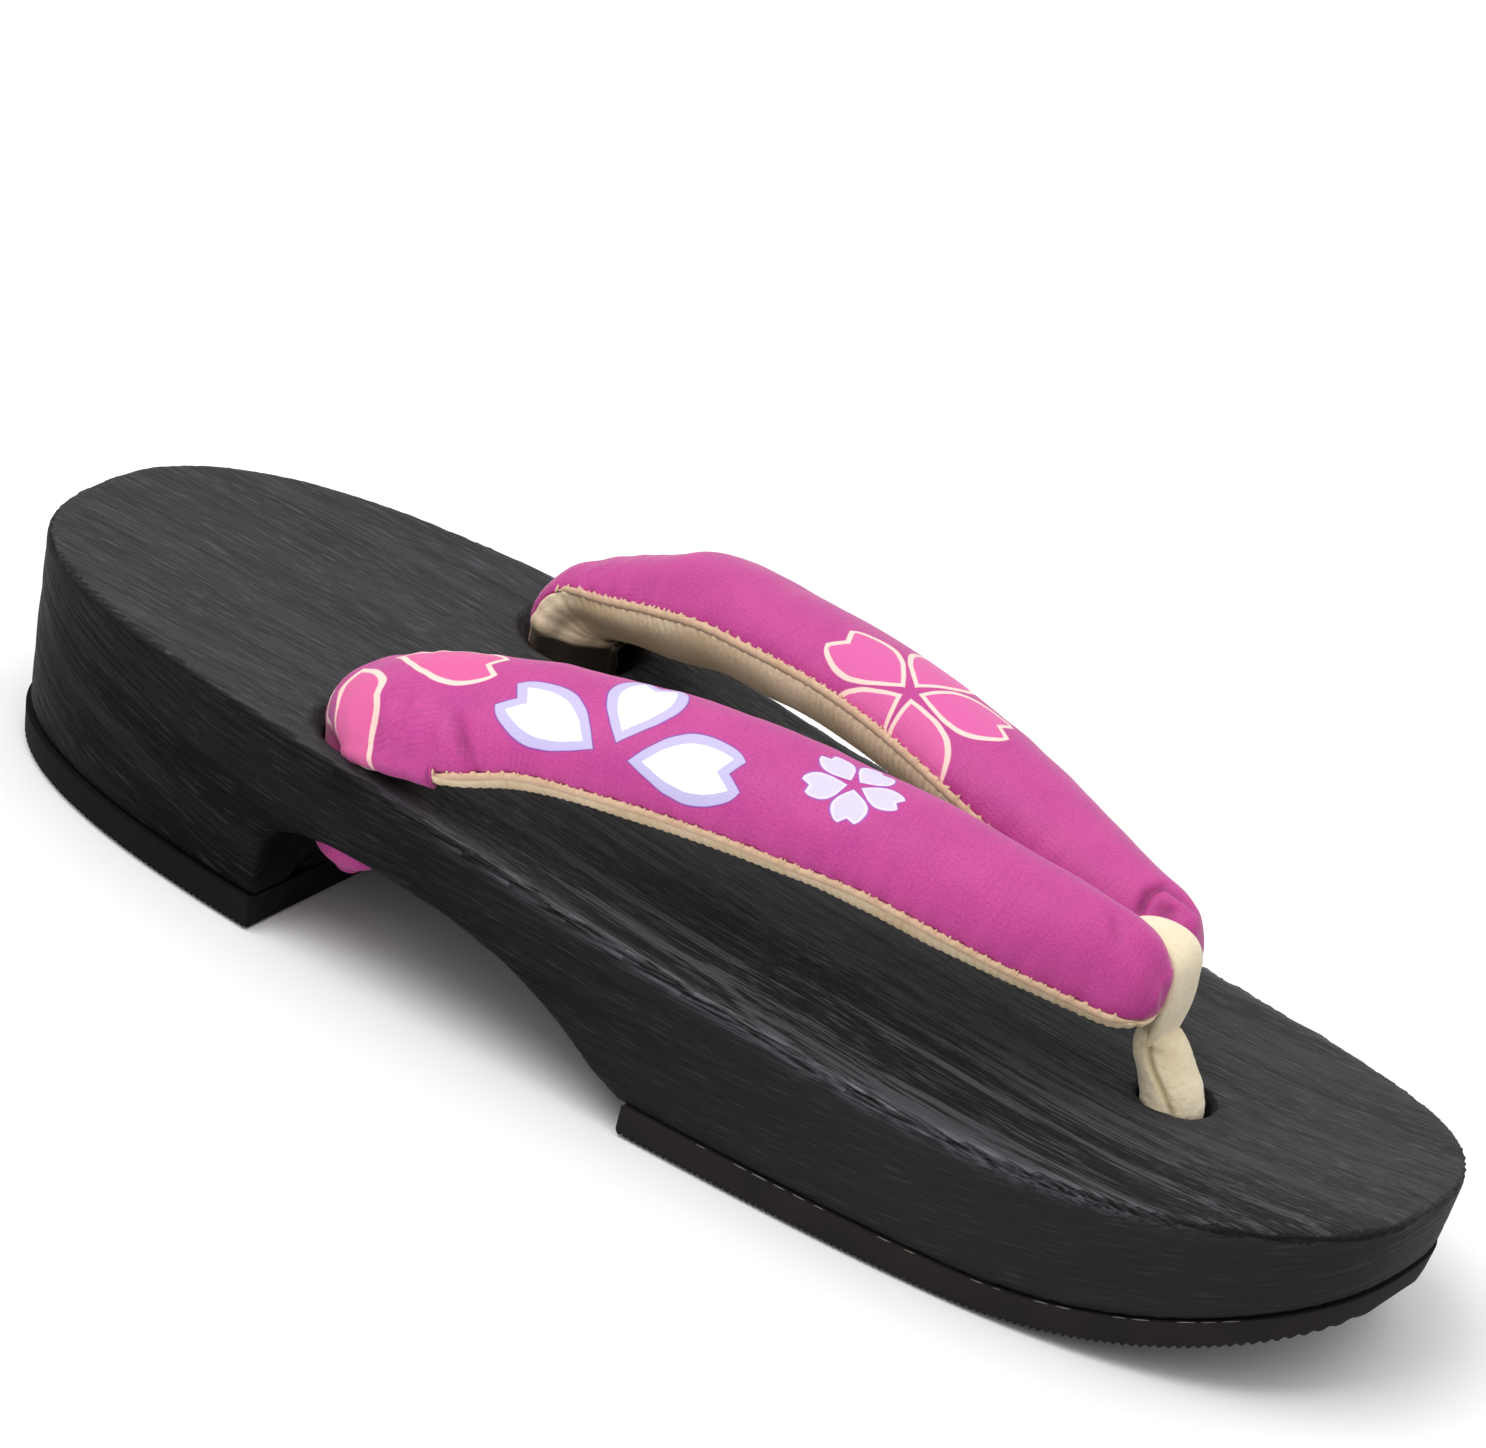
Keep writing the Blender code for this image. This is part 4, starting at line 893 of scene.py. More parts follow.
def scatter_tree(name):
    """Beads along a path: named sizes, a fixed seed, and a share of the places left out."""
    tree = bpy.data.node_groups.new(name, "GeometryNodeTree")
    tree.interface.new_socket("Geometry", in_out="INPUT", socket_type="NodeSocketGeometry")
    for label, kind, value in (
        ("Pitch", "NodeSocketFloat", 1.0 * MM),
        ("Bead length", "NodeSocketFloat", 1.0 * MM),
        ("Bead depth", "NodeSocketFloat", 0.5 * MM),
        ("Bead height", "NodeSocketFloat", 0.3 * MM),
        ("Left out", "NodeSocketFloat", 0.0),
        ("Seed", "NodeSocketInt", 3),
        ("Material", "NodeSocketMaterial", None),
    ):
        socket = tree.interface.new_socket(label, in_out="INPUT", socket_type=kind)
        if value is not None:
            socket.default_value = value
    tree.interface.new_socket("Geometry", in_out="OUTPUT", socket_type="NodeSocketGeometry")
    given = add(tree, "NodeGroupInput").outputs
    path = add(tree, "GeometryNodeMeshToCurve", {0: given["Geometry"]})
    even = add(tree, "GeometryNodeResampleCurve", {"Curve": path, "Length": given["Pitch"]},
               mode="LENGTH")
    bead = add(tree, "GeometryNodeMeshIcoSphere", {"Radius": 0.5, "Subdivisions": 2})
    out = add(tree, "GeometryNodeInputNamedAttribute", {"Name": "across_seam"}, data_type="FLOAT_VECTOR")
    tangent = add(tree, "GeometryNodeInputTangent")
    first = add(tree, "FunctionNodeAlignRotationToVector", {"Vector": tangent}, axis="X")
    second = add(tree, "FunctionNodeAlignRotationToVector",
                 {"Rotation": first, "Vector": out}, axis="Z", pivot_axis="X")
    chance = add(tree, "FunctionNodeRandomValue", {"Seed": given["Seed"]}, data_type="FLOAT")
    kept = add(tree, "FunctionNodeCompare", {0: chance, 1: given["Left out"]},
               data_type="FLOAT", operation="GREATER_THAN")
    vary = add(tree, "ShaderNodeMapRange", {"Value": chance, "To Min": 0.7, "To Max": 1.25})
    length = add(tree, "ShaderNodeMath", {0: given["Bead length"], 1: vary}, operation="MULTIPLY")
    height = add(tree, "ShaderNodeMath", {0: given["Bead height"], 1: vary}, operation="MULTIPLY")
    size = add(tree, "ShaderNodeCombineXYZ", {"X": length, "Y": given["Bead depth"], "Z": height})
    placed = add(tree, "GeometryNodeInstanceOnPoints", {
        "Points": even, "Selection": kept, "Instance": bead,
        "Rotation": second, "Scale": size,
    })
    real = add(tree, "GeometryNodeRealizeInstances", {0: placed})
    done = add(tree, "GeometryNodeSetMaterial", {"Geometry": real, "Material": given["Material"]})
    add(tree, "NodeGroupOutput", {0: done})
    return tree


def scatter(name, paths, outs, tree, values):
    """Runs a bead tree over open paths of points, and gives the result as one plain mesh."""
    vertices = np.vstack(paths)
    edges = []
    start = 0
    for path in paths:
        edges += [(start + i, start + i + 1) for i in range(len(path) - 1)]
        start += len(path)
    mesh = bpy.data.meshes.new(name)
    mesh.from_pydata(vertices.tolist(), edges, [])
    mesh.attributes.new("across_seam", "FLOAT_VECTOR", "POINT").data.foreach_set(
        "vector", np.vstack(outs).astype(np.float32).ravel())
    piece = new_piece(mesh)
    modifier = piece.modifiers.new("beads", "NODES")
    modifier.node_group = tree
    sockets = {s.name: s.identifier for s in tree.interface.items_tree if s.in_out == "INPUT"}
    for label, value in values.items():
        modifier[sockets[label]] = value
    applied(piece)
    piece.data.shade_smooth()
    return piece


def make_glue():
    """Dried glue that shows as a broken pale line between the wood and the forefoot pad."""
    xs = np.linspace(FOREFOOT_REAR + 14 * MM, -HEEL_END - 6 * MM, 220)
    z = spring(xs) + PAD_THICKNESS + 0.12 * MM
    share = np.clip(1 - z / BALL_HEIGHT, 0, 1)
    back = (LENGTH / 2 - xs) / LENGTH
    px = xs + share * (REAR_LEAN * back - TOE_LEAN * (1 - back))
    width = half_width(xs) * (1 - share * SIDE_LEAN / HALF_WIDTH) - 0.12 * MM
    paths = []
    outs = []
    for side in (-1, 1):
        for low, high in ((0, 62), (80, 92), (118, 160), (170, 205)):
            paths.append(np.column_stack([px, side * width, z])[low:high])
            outs.append(np.tile([0.0, 0.0, 1.0], (high - low, 1)))
    tree = scatter_tree("glue_line")
    values = {"Pitch": 3.1 * MM, "Bead length": 3.4 * MM, "Bead depth": 0.45 * MM, "Bead height": 0.30 * MM,
              "Left out": 0.4, "Seed": 11, "Material": dried_glue()}
    piece = scatter("glue_line_beads", paths, outs, tree, values)
    finish_piece(piece, "sole_rubber")


# ---- strap


def leg_rows(rows, side, first_row=0):
    """Evenly spaced rows along a leg, on the left side, with the section's axes and sizes and u in mm."""
    x = REAR_HOLE_X + STRAP[:, 0] * (STRAP_TIP_X - REAR_HOLE_X)
    base = np.where(STRAP[:, 2] == 0, deck_top(x), deck_top(REAR_HOLE_X)[0])
    z = base + STRAP[:, 3] * STRAP_RISE - STRAP[:, 2] * STRAP_TAIL
    keys = np.column_stack([
        x, STRAP[:, 1] * REAR_HOLE_Y, z, STRAP[:, 4] * STRAP_WIDTH / 2, STRAP[:, 5] * STRAP_CROWN,
        STRAP[:, 6] * STRAP_DEPTH, STRAP[:, 7], STRAP[:, 8], STRAP[:, 9],
    ])
    along = run_lengths(keys[:, :3])
    u = np.linspace(along[first_row], along[-1], rows)
    dense = smoothed(hermite(along, keys, u), int((SMOOTHING / (u[1] - u[0])) ** 2))
    heading = keys[-1, :3] - keys[-6, :3]
    level = np.array([-heading[1], heading[0], 0.0])
    level /= np.linalg.norm(level)
    tangent = np.gradient(dense[:, :3], axis=0)
    tangent /= np.linalg.norm(tangent, axis=1)[:, None]
    across = level - np.outer(np.tan(dense[:, 6] * STRAP_BANK), [0.0, 0.0, 1.0])
    across -= np.sum(across * tangent, axis=1)[:, None] * tangent
    across /= np.linalg.norm(across, axis=1)[:, None]
    turn = (-dense[:, 7] * STRAP_TURN)[:, None]
    across = across * np.cos(turn) + np.cross(tangent, across) * np.sin(turn)
    up = np.cross(tangent, across)
    table = RIGHT_SHAPE if side < 0 else LEFT_SHAPE
    more = hermite(table[:, 0], table[:, 1:] * MM, u / MM)
    center, sizes = dense[:, :3] + more[:, :3], dense[:, 3:6] + more[:, 3:]
    return {
        "center": center, "across": across, "up": up, "tangent": tangent,
        "half": sizes[:, 0], "crown": sizes[:, 1], "depth": np.maximum(sizes[:, 2], LEAST_DEPTH),
        "wrap": np.clip(dense[:, 8], 0, 1), "u": u / MM,
        "deck_u": along[DECK_ROW] / MM, "tip_u": along[-1] / MM,
    }


def rounded_ends(rows, tail):
    """Adds rows that close the tip, and the tail too, as small domes."""
    for index, sense, dome in ((-1, 1, 1.4), (0, -1, 1.1))[:2 if tail else 1]:
        extra = {key: [] for key in rows if isinstance(rows[key], np.ndarray)}
        for a in np.radians([12, 24, 36, 48, 60, 70, 80, 88]):
            reach = dome * MM * math.sin(a)
            for key in extra:
                value = rows[key][index]
                if key == "center":
                    value = value + sense * reach * rows["tangent"][index]
                elif key in ("half", "crown", "depth"):
                    value = value * math.cos(a)
                elif key == "u":
                    value = value + sense * reach / MM
                extra[key].append(value)
        for key, values in extra.items():
            values = np.array(values)
            pair = [rows[key], values] if sense > 0 else [values[::-1], rows[key]]
            rows[key] = np.concatenate(pair)
    return rows


def section_points(rows, angles):
    """Points of the strap's surface at angles around each row, and their outward normals."""
    rise = np.where(np.sin(angles) >= 0, rows["crown"][:, None], rows["depth"][:, None])
    a = (rows["half"][:, None] * np.cos(angles))[..., None] * rows["across"][:, None, :]
    b = (rise * np.sin(angles))[..., None] * rows["up"][:, None, :]
    points = rows["center"][:, None, :] + a + b
    along = np.gradient(points, axis=0)
    around = np.gradient(points, axis=1)
    normals = np.cross(along, around)
    outward = points - rows["center"][:, None, :]
    flip = np.sign(np.sum(normals * outward, axis=2, keepdims=True))
    normals *= np.where(flip == 0, 1, flip)
    size = np.linalg.norm(normals, axis=2, keepdims=True)
    normals = np.where(size > 1e-14, normals / np.maximum(size, 1e-14), 0.0)
    return points, normals


def across_rows(points):
    """Length across each row from its first point, and from its nearer end, in mm."""
    step = np.linalg.norm(np.diff(points, axis=1), axis=2) / MM
    arc = np.concatenate([np.zeros((len(points), 1)), np.cumsum(step, axis=1)], axis=1)
    return arc, np.minimum(arc, arc[:, -1:] - arc)


def add_creases(height, u, v, creases):
    """Presses soft troughs, and raises ridges where depth is negative, along short lines of the map."""
    for u0, v0, u1, v1, width, depth in creases:
        du, dv = u1 - u0, v1 - v0
        t = np.clip(((u - u0) * du + (v - v0) * dv) / (du * du + dv * dv), 0, 1)
        away = np.hypot(u - u0 - t * du, v - v0 - t * dv)
        fading = np.sqrt(np.clip(1.05 - np.abs(2 * t - 1), 0, 1))
        height = height - depth * np.exp(-((away / width) ** 2)) * fading
    return height


# Creases of each leg in its own map: from (u, v) to (u, v), width and depth in mm
RIGHT_CREASES = (
    (43.4, -6.5, 46.6, -15.5, 0.9, 1.1),
    (41.2, -8.5, 43.4, -14.5, 1.2, -0.6),
    (36.0, -3.0, 37.0, -10.0, 0.7, 0.4),
    (33.0, -6.0, 35.0, -13.0, 0.8, 0.5),
    (139.0, -0.5, 143.0, -4.5, 0.9, 0.6),
)
LEFT_CREASES = (
    (140.4, 8.4, 138.0, 4.0, 0.7, 1.2),
    (138.2, 5.0, 138.3, 0.6, 0.7, 1.1),
    (138.0, 1.6, 142.4, 0.2, 0.7, 0.8),
    (141.2, 0.6, 146.2, -0.8, 0.7, 0.5),
    (141.0, 5.2, 145.0, 2.6, 1.6, 0.9),
    (140.4, 3.0, 144.8, 0.9, 0.6, -0.5),
)


def cover_leg(looks, side):
    """The padded cover of one leg, puckered along its seams and gathered at the knee and at the tip."""
    rows = rounded_ends(leg_rows(COVER_ROWS, side), tail=True)
    share = np.linspace(0, 1, COVER_COLUMNS)[None, :]
    inner = 0.04 - rows["wrap"] * FULL_WRAP
    tuck = np.clip((rows["deck_u"] + TUCK_LENGTH - rows["u"]) / 5.0, 0, 1)
    tuck = np.sqrt(tuck * (2 - tuck)) * TUCK_WRAP * (side < 0)
    outer = np.minimum(inner, 0.04 - tuck)
    angles = outer[:, None] + share * (math.pi - inner - outer)[:, None]
    points, normals = section_points(rows, angles)
    u = np.broadcast_to(rows["u"][:, None], angles.shape)
    arc, seam = across_rows(points)
    crown = np.array([np.interp(math.pi / 2, a, b) for a, b in zip(angles, arc)])
    v = arc - crown[:, None]
    seed = 20 if side < 0 else 40
    height = COVER_PUFF * lattice_noise(u / 13, v / 9, seed)
    height += COVER_UNEVEN * lattice_noise(u / 4.5, v / 5, seed + 1)
    height *= 1 - np.exp(-((seam / 2.2) ** 2))
    uneven = 2.5 * lattice_noise(u / 11, v * 0, seed + 2)
    pucker = np.cos(2 * np.pi * u / (2 * looks.stitch_pitch / MM) + uneven)
    height += COVER_PUCKER * pucker * np.exp(-seam / 3.0)
    height -= COVER_SEAM * np.exp(-((seam / 0.8) ** 2))
    knee = np.exp(-(((u - rows["deck_u"] - 5) / 9.0) ** 2))
    wave = np.sin(2 * np.pi * (u / 3.6 + 0.8 * lattice_noise(u / 8, v / 6, seed + 3)))
    height += KNEE_WAVE * knee * wave * (0.4 + 0.6 * np.exp(-seam / 6.0))
    front = np.exp(-(rows["tip_u"] - u).clip(0) / 7.0)
    height += TIP_GATHER * front * np.sin(5 * angles + 1.5 * lattice_noise(u / 6, v / 6, seed + 4))
    before = height.copy()
    height = add_creases(height, u, v, RIGHT_CREASES if side < 0 else LEFT_CREASES)
    # painted shade, darker the deeper a crease is pressed in
    fold = np.clip((before - height) * (0.40 if side < 0 else 0.62), 0, 0.75)
    shrink = np.clip(rows["half"][:, None] / (4 * MM), 0, 1)
    hang = np.exp(-(((u - rows["deck_u"] - 9) / 9) ** 2)) * np.clip(-np.degrees(angles) / 50, 0, 1)
    above = (rows["u"] > rows["deck_u"])[:, None]
    wrapped = np.clip((tuck[:, None] / TUCK_WRAP) * 3, 0, 1) if side < 0 else 0.0
    puffed = TUCK_PUFF * np.clip((10 - np.degrees(angles)) / 12, 0, 1) * wrapped
    height += (puffed + KNEE_HANG * hang) * above
    points = points + normals * (height * shrink * MM)[..., None]
    points[..., 1] *= side
    faces = grid_faces(len(u), COVER_COLUMNS)
    if side < 0:
        # the cloth is gathered at the knee, so that more of its print lies in each millimetre
        gathered = np.clip((-v - 1) / 4, 0, 1) * np.clip((40 - u) / 5, 0, 1)
        u, v = u + 0.55 * gathered * (u - 30.2), v * (1 - 0.22 * gathered)
    return points.reshape(-1, 3), faces, u.ravel(), v.ravel(), fold.ravel()


def map_layer(mesh, u, v):
    """The strap's own map, in millimetres, as a UV layer."""
    layer = mesh.uv_layers.new(name="strap_mm")
    corner = np.empty(len(mesh.loops), int)
    mesh.loops.foreach_get("vertex_index", corner)
    layer.data.foreach_set("uv", np.column_stack([u[corner], v[corner]]).astype(np.float32).ravel())


def sheet_piece(name, points, faces, u, v, fold, material, wall):
    """A mapped surface with the thickness of its cloth and wadding."""
    mesh = bpy.data.meshes.new(name)
    mesh.from_pydata(points.tolist(), [], faces)
    map_layer(mesh, u, v)
    write_attribute(mesh, "fold", fold)
    piece = new_piece(mesh, material)
    clean(mesh, SAME_POINT * 2)
    mesh.shade_smooth()
    thick = piece.modifiers.new("wall", "SOLIDIFY")
    thick.thickness = wall
    thick.offset = -1.0
    applied(piece)
    piece.data.shade_smooth()
    return piece


def outward_faces(faces, side):
    """The faces of a leg, wound so that they point outwards."""
    return [face[::-1] for face in faces] if side < 0 else faces


def fold_tube():
    """The squeezed middle of the strap, inside the toe post's loop, with its wrinkles."""
    center = fold_center()
    width = 7.2 * MM
    share = np.linspace(-1, 1, 60)[:, None]
    angle = np.linspace(0, 2 * np.pi, 40, endpoint=False)[None, :]
    radius = FOLD_RADIUS * (0.94 + 0.30 * share**2) + 0.16 * MM * np.cos(9 * angle + 2 * share)
    x = center[0] + radius * np.cos(angle) * 1.02
    z = center[2] + radius * np.sin(angle)
    y = np.broadcast_to(share * width, x.shape)
    points = np.stack([x, y, z], -1).reshape(-1, 3)
    u = np.broadcast_to(LEG_GAP * 2 + share * width / MM, x.shape)
    v = np.broadcast_to(angle * 3.2, x.shape)
    return points, grid_faces(60, 40, closed=True), u.ravel(), v.ravel()


def fold_center():
    """Middle of the fold, just above the inner seams near the tip, as in the solid."""
    rows = np.array([STRAP[FOLD_ROW - 1], STRAP[FOLD_ROW], STRAP[FOLD_ROW + 1]])
    x = REAR_HOLE_X + rows[:, 0] * (STRAP_TIP_X - REAR_HOLE_X)
    z = deck_top(x) + rows[:, 3] * STRAP_RISE
    half = rows[1, 4] * STRAP_WIDTH / 2
    rise = half * math.sin(rows[1, 7] * STRAP_BANK)
    return (STRAP_TIP_X - FOLD_BEHIND_TIP, 0.0, z[1] + rise + CLEARANCE + FOLD_RADIUS)


def make_covers(looks):
    """Both padded legs and the fold between them."""
    material = printed_damask(looks)
    for side, name in ((-1, "strap_cover_right"), (1, "strap_cover_left")):
        points, faces, u, v, fold = cover_leg(looks, side)
        u = u if side < 0 else u + LEG_GAP
        piece = sheet_piece(name, points, outward_faces(faces, side), u, v, fold, material, COVER_WALL)
        finish_piece(piece, "strap_fabric", "strap_cover")
    points, faces, u, v = fold_tube()
    faces, fold = outward_faces(faces, -1), np.zeros(len(u))
    piece = sheet_piece("strap_fold", points, faces, u, v, fold, material, FOLD_WALL)
    finish_piece(piece, "strap_fabric")


def make_linings(looks):
    """The ribbed velvet under each leg, gathered where it goes down into the hole."""
    material = ribbed_velvet(looks)
    for side, name in ((-1, "strap_velvet_right"), (1, "strap_velvet_left")):
        rows = rounded_ends(leg_rows(LINING_ROWS, side, LINING_ROW), tail=False)
        share = np.linspace(0, 1, LINING_COLUMNS)[None, :]
        angles = math.pi + 0.04 + share * (math.pi - 0.08) + 0 * rows["u"][:, None]
        points, normals = section_points(rows, angles)
        u = np.broadcast_to(rows["u"][:, None], angles.shape)
        arc, seam = across_rows(points)
        seed = 60 if side < 0 else 80
        height = VELVET_RIB * np.cos(2 * np.pi * u / (looks.velvet_pitch / MM))
        height += VELVET_PUFF * lattice_noise(u / 9, arc / 6, seed) * (1 - np.exp(-((seam / 2.0) ** 2)))
        pucker = np.cos(2 * np.pi * u / (looks.stitch_pitch / MM))
        height += VELVET_PUCKER * pucker * np.exp(-seam / 1.6)
        gather = np.exp(-((u - rows["deck_u"]).clip(0) / 9.0))
        ripple = np.cos(7 * angles + 1.2 * lattice_noise(u / 12, arc / 8, seed + 1))
        creased = gather * ripple * np.clip(seam / 2.0, 0, 1)
        height += VELVET_GATHER * creased
        # painted shade in the gathered creases, and painted shadow from 0.9 mm above the deck's top down
        # into the hole
        fold = np.clip(-0.40 * creased, 0, 0.5)
        sunk = deck_top(points[..., 0].ravel()).reshape(u.shape) - points[..., 2]
        fold = np.maximum(fold, np.clip(sunk / (0.9 * MM) + 1.0, 0, 1))
        shrink = np.clip(rows["half"][:, None] / (4 * MM), 0, 1)
        points = points + normals * (height * shrink * MM)[..., None]
        points[..., 1] *= side
        faces = outward_faces(grid_faces(len(u), LINING_COLUMNS), side)
        piece = sheet_piece(name, points.reshape(-1, 3), faces, u.ravel(), arc.ravel(), fold.ravel(),
                            material, LINING_WALL)
        finish_piece(piece, "lining_velvet", "strap_lining_right" if side < 0 else "strap_lining_left")


def make_seams(looks):
    """The turned edge along both seams of each leg, and the stitches that pull it into scallops."""
    material = rolled_edge()
    pitch = looks.stitch_pitch / MM
    paths = []
    outs = []
    columns = 10
    around = np.linspace(0, 2 * np.pi, columns, endpoint=False)[None, :, None]
    for side, leg in ((-1, "right"), (1, "left")):
        rows = leg_rows(360, side, LINING_ROW)
        u = rows["u"]
        spike = np.maximum(0.0, np.cos(2 * np.pi * u / pitch)) ** 5
        taper = np.clip((rows["tip_u"] - u) / 3.0, 0.05, 1.0)
        points = []
        faces = []
        for end in (1, -1):
            # the tuck covers the first stretch of the right leg's outer seam
            start = rows["deck_u"] + (TUCK_LENGTH + 0.4 if side < 0 < end else 2.4)
            first = int(np.searchsorted(u, start))
            out = end * rows["across"]
            middle = rows["center"] + out * (rows["half"] - 0.02 * MM)[:, None]
            middle = middle + rows["up"] * ((0.06 + 0.22 * spike) * MM)[:, None]
            begun = np.clip((u - start) / 1.5, 0.05, 1.0)
            radius = ((0.42 + 0.14 * spike) * taper * begun * MM)[:, None, None]
            ring = middle[:, None, :] + radius * (np.cos(around) * out[:, None, :] + 1.5 * np.sin(around)
                                                  * rows["up"][:, None, :])
            ring = ring[first:]
            faces += grid_faces(len(ring), columns, closed=True, start=sum(len(p) for p in points))
            ring[..., 1] *= side
            points.append(ring.reshape(-1, 3))
            path = (middle + out * 0.18 * MM + rows["up"] * 0.35 * MM)[max(first, 6):-8]
            path[:, 1] *= side
            lift = (rows["up"] - 0.25 * out)[max(first, 6):-8]
            lift[:, 1] *= side
            paths.append(path)
            outs.append(lift)
        piece = closed_piece("lining_edge_" + leg, np.vstack(points), faces, material, SAME_POINT)
        finish_piece(piece, "lining_velvet")
    tree = scatter_tree("stitches")
    values = {"Pitch": looks.stitch_pitch, "Bead length": 0.42 * MM, "Bead depth": 0.42 * MM,
              "Bead height": 1.3 * MM, "Left out": 0.0, "Seed": 5, "Material": material}
    piece = scatter("seam_stitches", paths, outs, tree, values)
    finish_piece(piece, "lining_velvet")


# ---- toe post


def band(center, table, rows, columns):
    """One stretch of the loop's flat soft band."""
    table = np.array(table)
    keys = np.column_stack([
        center[0] + table[:, 0] * LOOP_AHEAD, center[2] + table[:, 1] * LOOP_ABOVE,
        table[:, 2] * LOOP_WIDTH / 2,
    ])
    along = run_lengths(keys[:, :2])
    dense = smoothed(hermite(along, keys, np.linspace(0, along[-1], rows)), 14)
    tangent = np.gradient(dense[:, :2], axis=0)
    tangent /= np.linalg.norm(tangent, axis=1)[:, None]
    angle = np.linspace(0, 2 * np.pi, columns, endpoint=False)[None, :]
    flat = np.sign(np.cos(angle)) * np.abs(np.cos(angle)) ** 0.82
    thick = np.sign(np.sin(angle)) * np.abs(np.sin(angle)) ** 0.82
    y = dense[:, 2:3] * flat
    half = LOOP_THICKNESS / 2 * (1 + 0.10 * lattice_noise(np.arange(rows)[:, None] / 9, angle * 2, 91))
    x = dense[:, 0:1] + half * thick * tangent[:, 1:2]
    z = dense[:, 1:2] - half * thick * tangent[:, 0:1]
    return np.stack(np.broadcast_arrays(x, y, z), -1).reshape(-1, 3)


def turned_from(angle, start):
    """How far an angle is turned from a start, between minus and plus half a turn."""
    return (angle - start + np.pi) % (2 * np.pi) - np.pi


def make_toe_post(looks):
    """The fleece post with its lengthwise crease and sewn waist, its loop, and the knot under the deck."""
    material = brushed_fleece(looks)
    center = fold_center()
    low = float(spring(FRONT_HOLE_X)[0]) + PAD_THICKNESS + CLEARANCE + KNOT_MIDDLE
    high = center[2] - 1.95 * LOOP_ABOVE
    waist_x = center[0] + 0.86 * LOOP_AHEAD
    rows, columns = 90, 72
    table = np.array(POST)
    share = np.linspace(0, 1, rows)
    shape = hermite(table[:, 0], table[:, 1:], share)
    z = low + share * (high - low)
    x = FRONT_HOLE_X + shape[:, 0] * (waist_x - FRONT_HOLE_X)
    angle = np.linspace(0, 2 * np.pi, columns, endpoint=False)[None, :]
    up = share[:, None]
    radius = shape[:, 1:2] * POST_RADIUS / MM + 0 * angle
    crease_at = -1.72 + 1.8 * (1 - up)
    showing = np.clip((up - 0.5) * 6, 0, 1)
    crease = np.exp(-((turned_from(angle, crease_at) / 0.11) ** 2)) * showing
    back_crease = np.exp(-((turned_from(angle, 2.4) / 0.14) ** 2)) * showing
    waist = np.exp(-(((up - 0.94) / 0.016) ** 2)) * np.exp(-((turned_from(angle, -1.5) / 0.5) ** 2))
    bulge = np.exp(-(((up - 0.86) / 0.12) ** 2))
    radius += 0.08 * lattice_noise(angle * 9, up * 45, 94)
    radius += 0.10 * lattice_noise(angle * 1.6, up * 9, 93)
    radius -= POST_CREASE * crease + POST_BACK_CREASE * back_crease + POST_WAIST * waist
    sway = np.clip((0.95 - up) / 0.25, 0, 1) ** 2 * MM
    radius *= 1 - 0.16 * np.clip((up - 0.9) / 0.1, 0, 1) ** 2
    radius += 0.08 * bulge
    px = x[:, None] - 0.45 * sway - 0.3 * MM * bulge + radius * MM * np.cos(angle)
    py = radius * MM * np.sin(angle) - 0.65 * sway - 0.45 * MM * bulge
    body = np.stack(np.broadcast_arrays(px, py, z[:, None]), -1).reshape(-1, 3)
    # painted shade along the creases and the sewn waist
    fold = np.clip(0.8 * crease + 0.7 * back_crease + 0.5 * waist, 0, 0.85).ravel()
    sets = [(body, rows, columns, fold)]
    for loop in (LOOP_OVER, LOOP_UNDER):
        count = 110 if loop is LOOP_OVER else 40
        points = band(center, loop, count, 40)
        sets.append((points, count, 40, np.zeros(len(points))))
    points = []
    faces = []
    folds = []
    start = 0
    for block, block_rows, block_columns, fold in sets:
        faces += grid_faces(block_rows, block_columns, closed=True, start=start)
        faces.append(tuple(range(start, start + block_columns)))
        end = start + (block_rows - 1) * block_columns
        faces.append(tuple(range(end, end + block_columns)))
        points.append(block)
        folds.append(fold)
        start += len(block)
    knot_rows, knot_columns = 24, 48
    tilt = np.linspace(0.001, np.pi - 0.001, knot_rows)[:, None]
    turn = np.linspace(0, 2 * np.pi, knot_columns, endpoint=False)[None, :]
    swell = 1 + 0.05 * np.cos(3 * turn + 4 * tilt) * np.sin(tilt)
    knot = np.stack(np.broadcast_arrays(
        FRONT_HOLE_X + KNOT_RADIUS * np.sin(tilt) * np.cos(turn) * swell,
        KNOT_RADIUS * np.sin(tilt) * np.sin(turn) * swell,
        low + KNOT_HALF_HEIGHT * np.cos(tilt) * np.ones_like(turn),
    ), -1).reshape(-1, 3)
    faces += grid_faces(knot_rows, knot_columns, closed=True, start=start)
    points.append(knot)
    folds.append(np.zeros(len(knot)))
    piece = closed_piece("toe_post_fleece", np.vstack(points), faces, material)
    write_attribute(piece.data, "fold", np.concatenate(folds))
    finish_piece(piece, "post_fleece", "toe_post")


# ---- stage


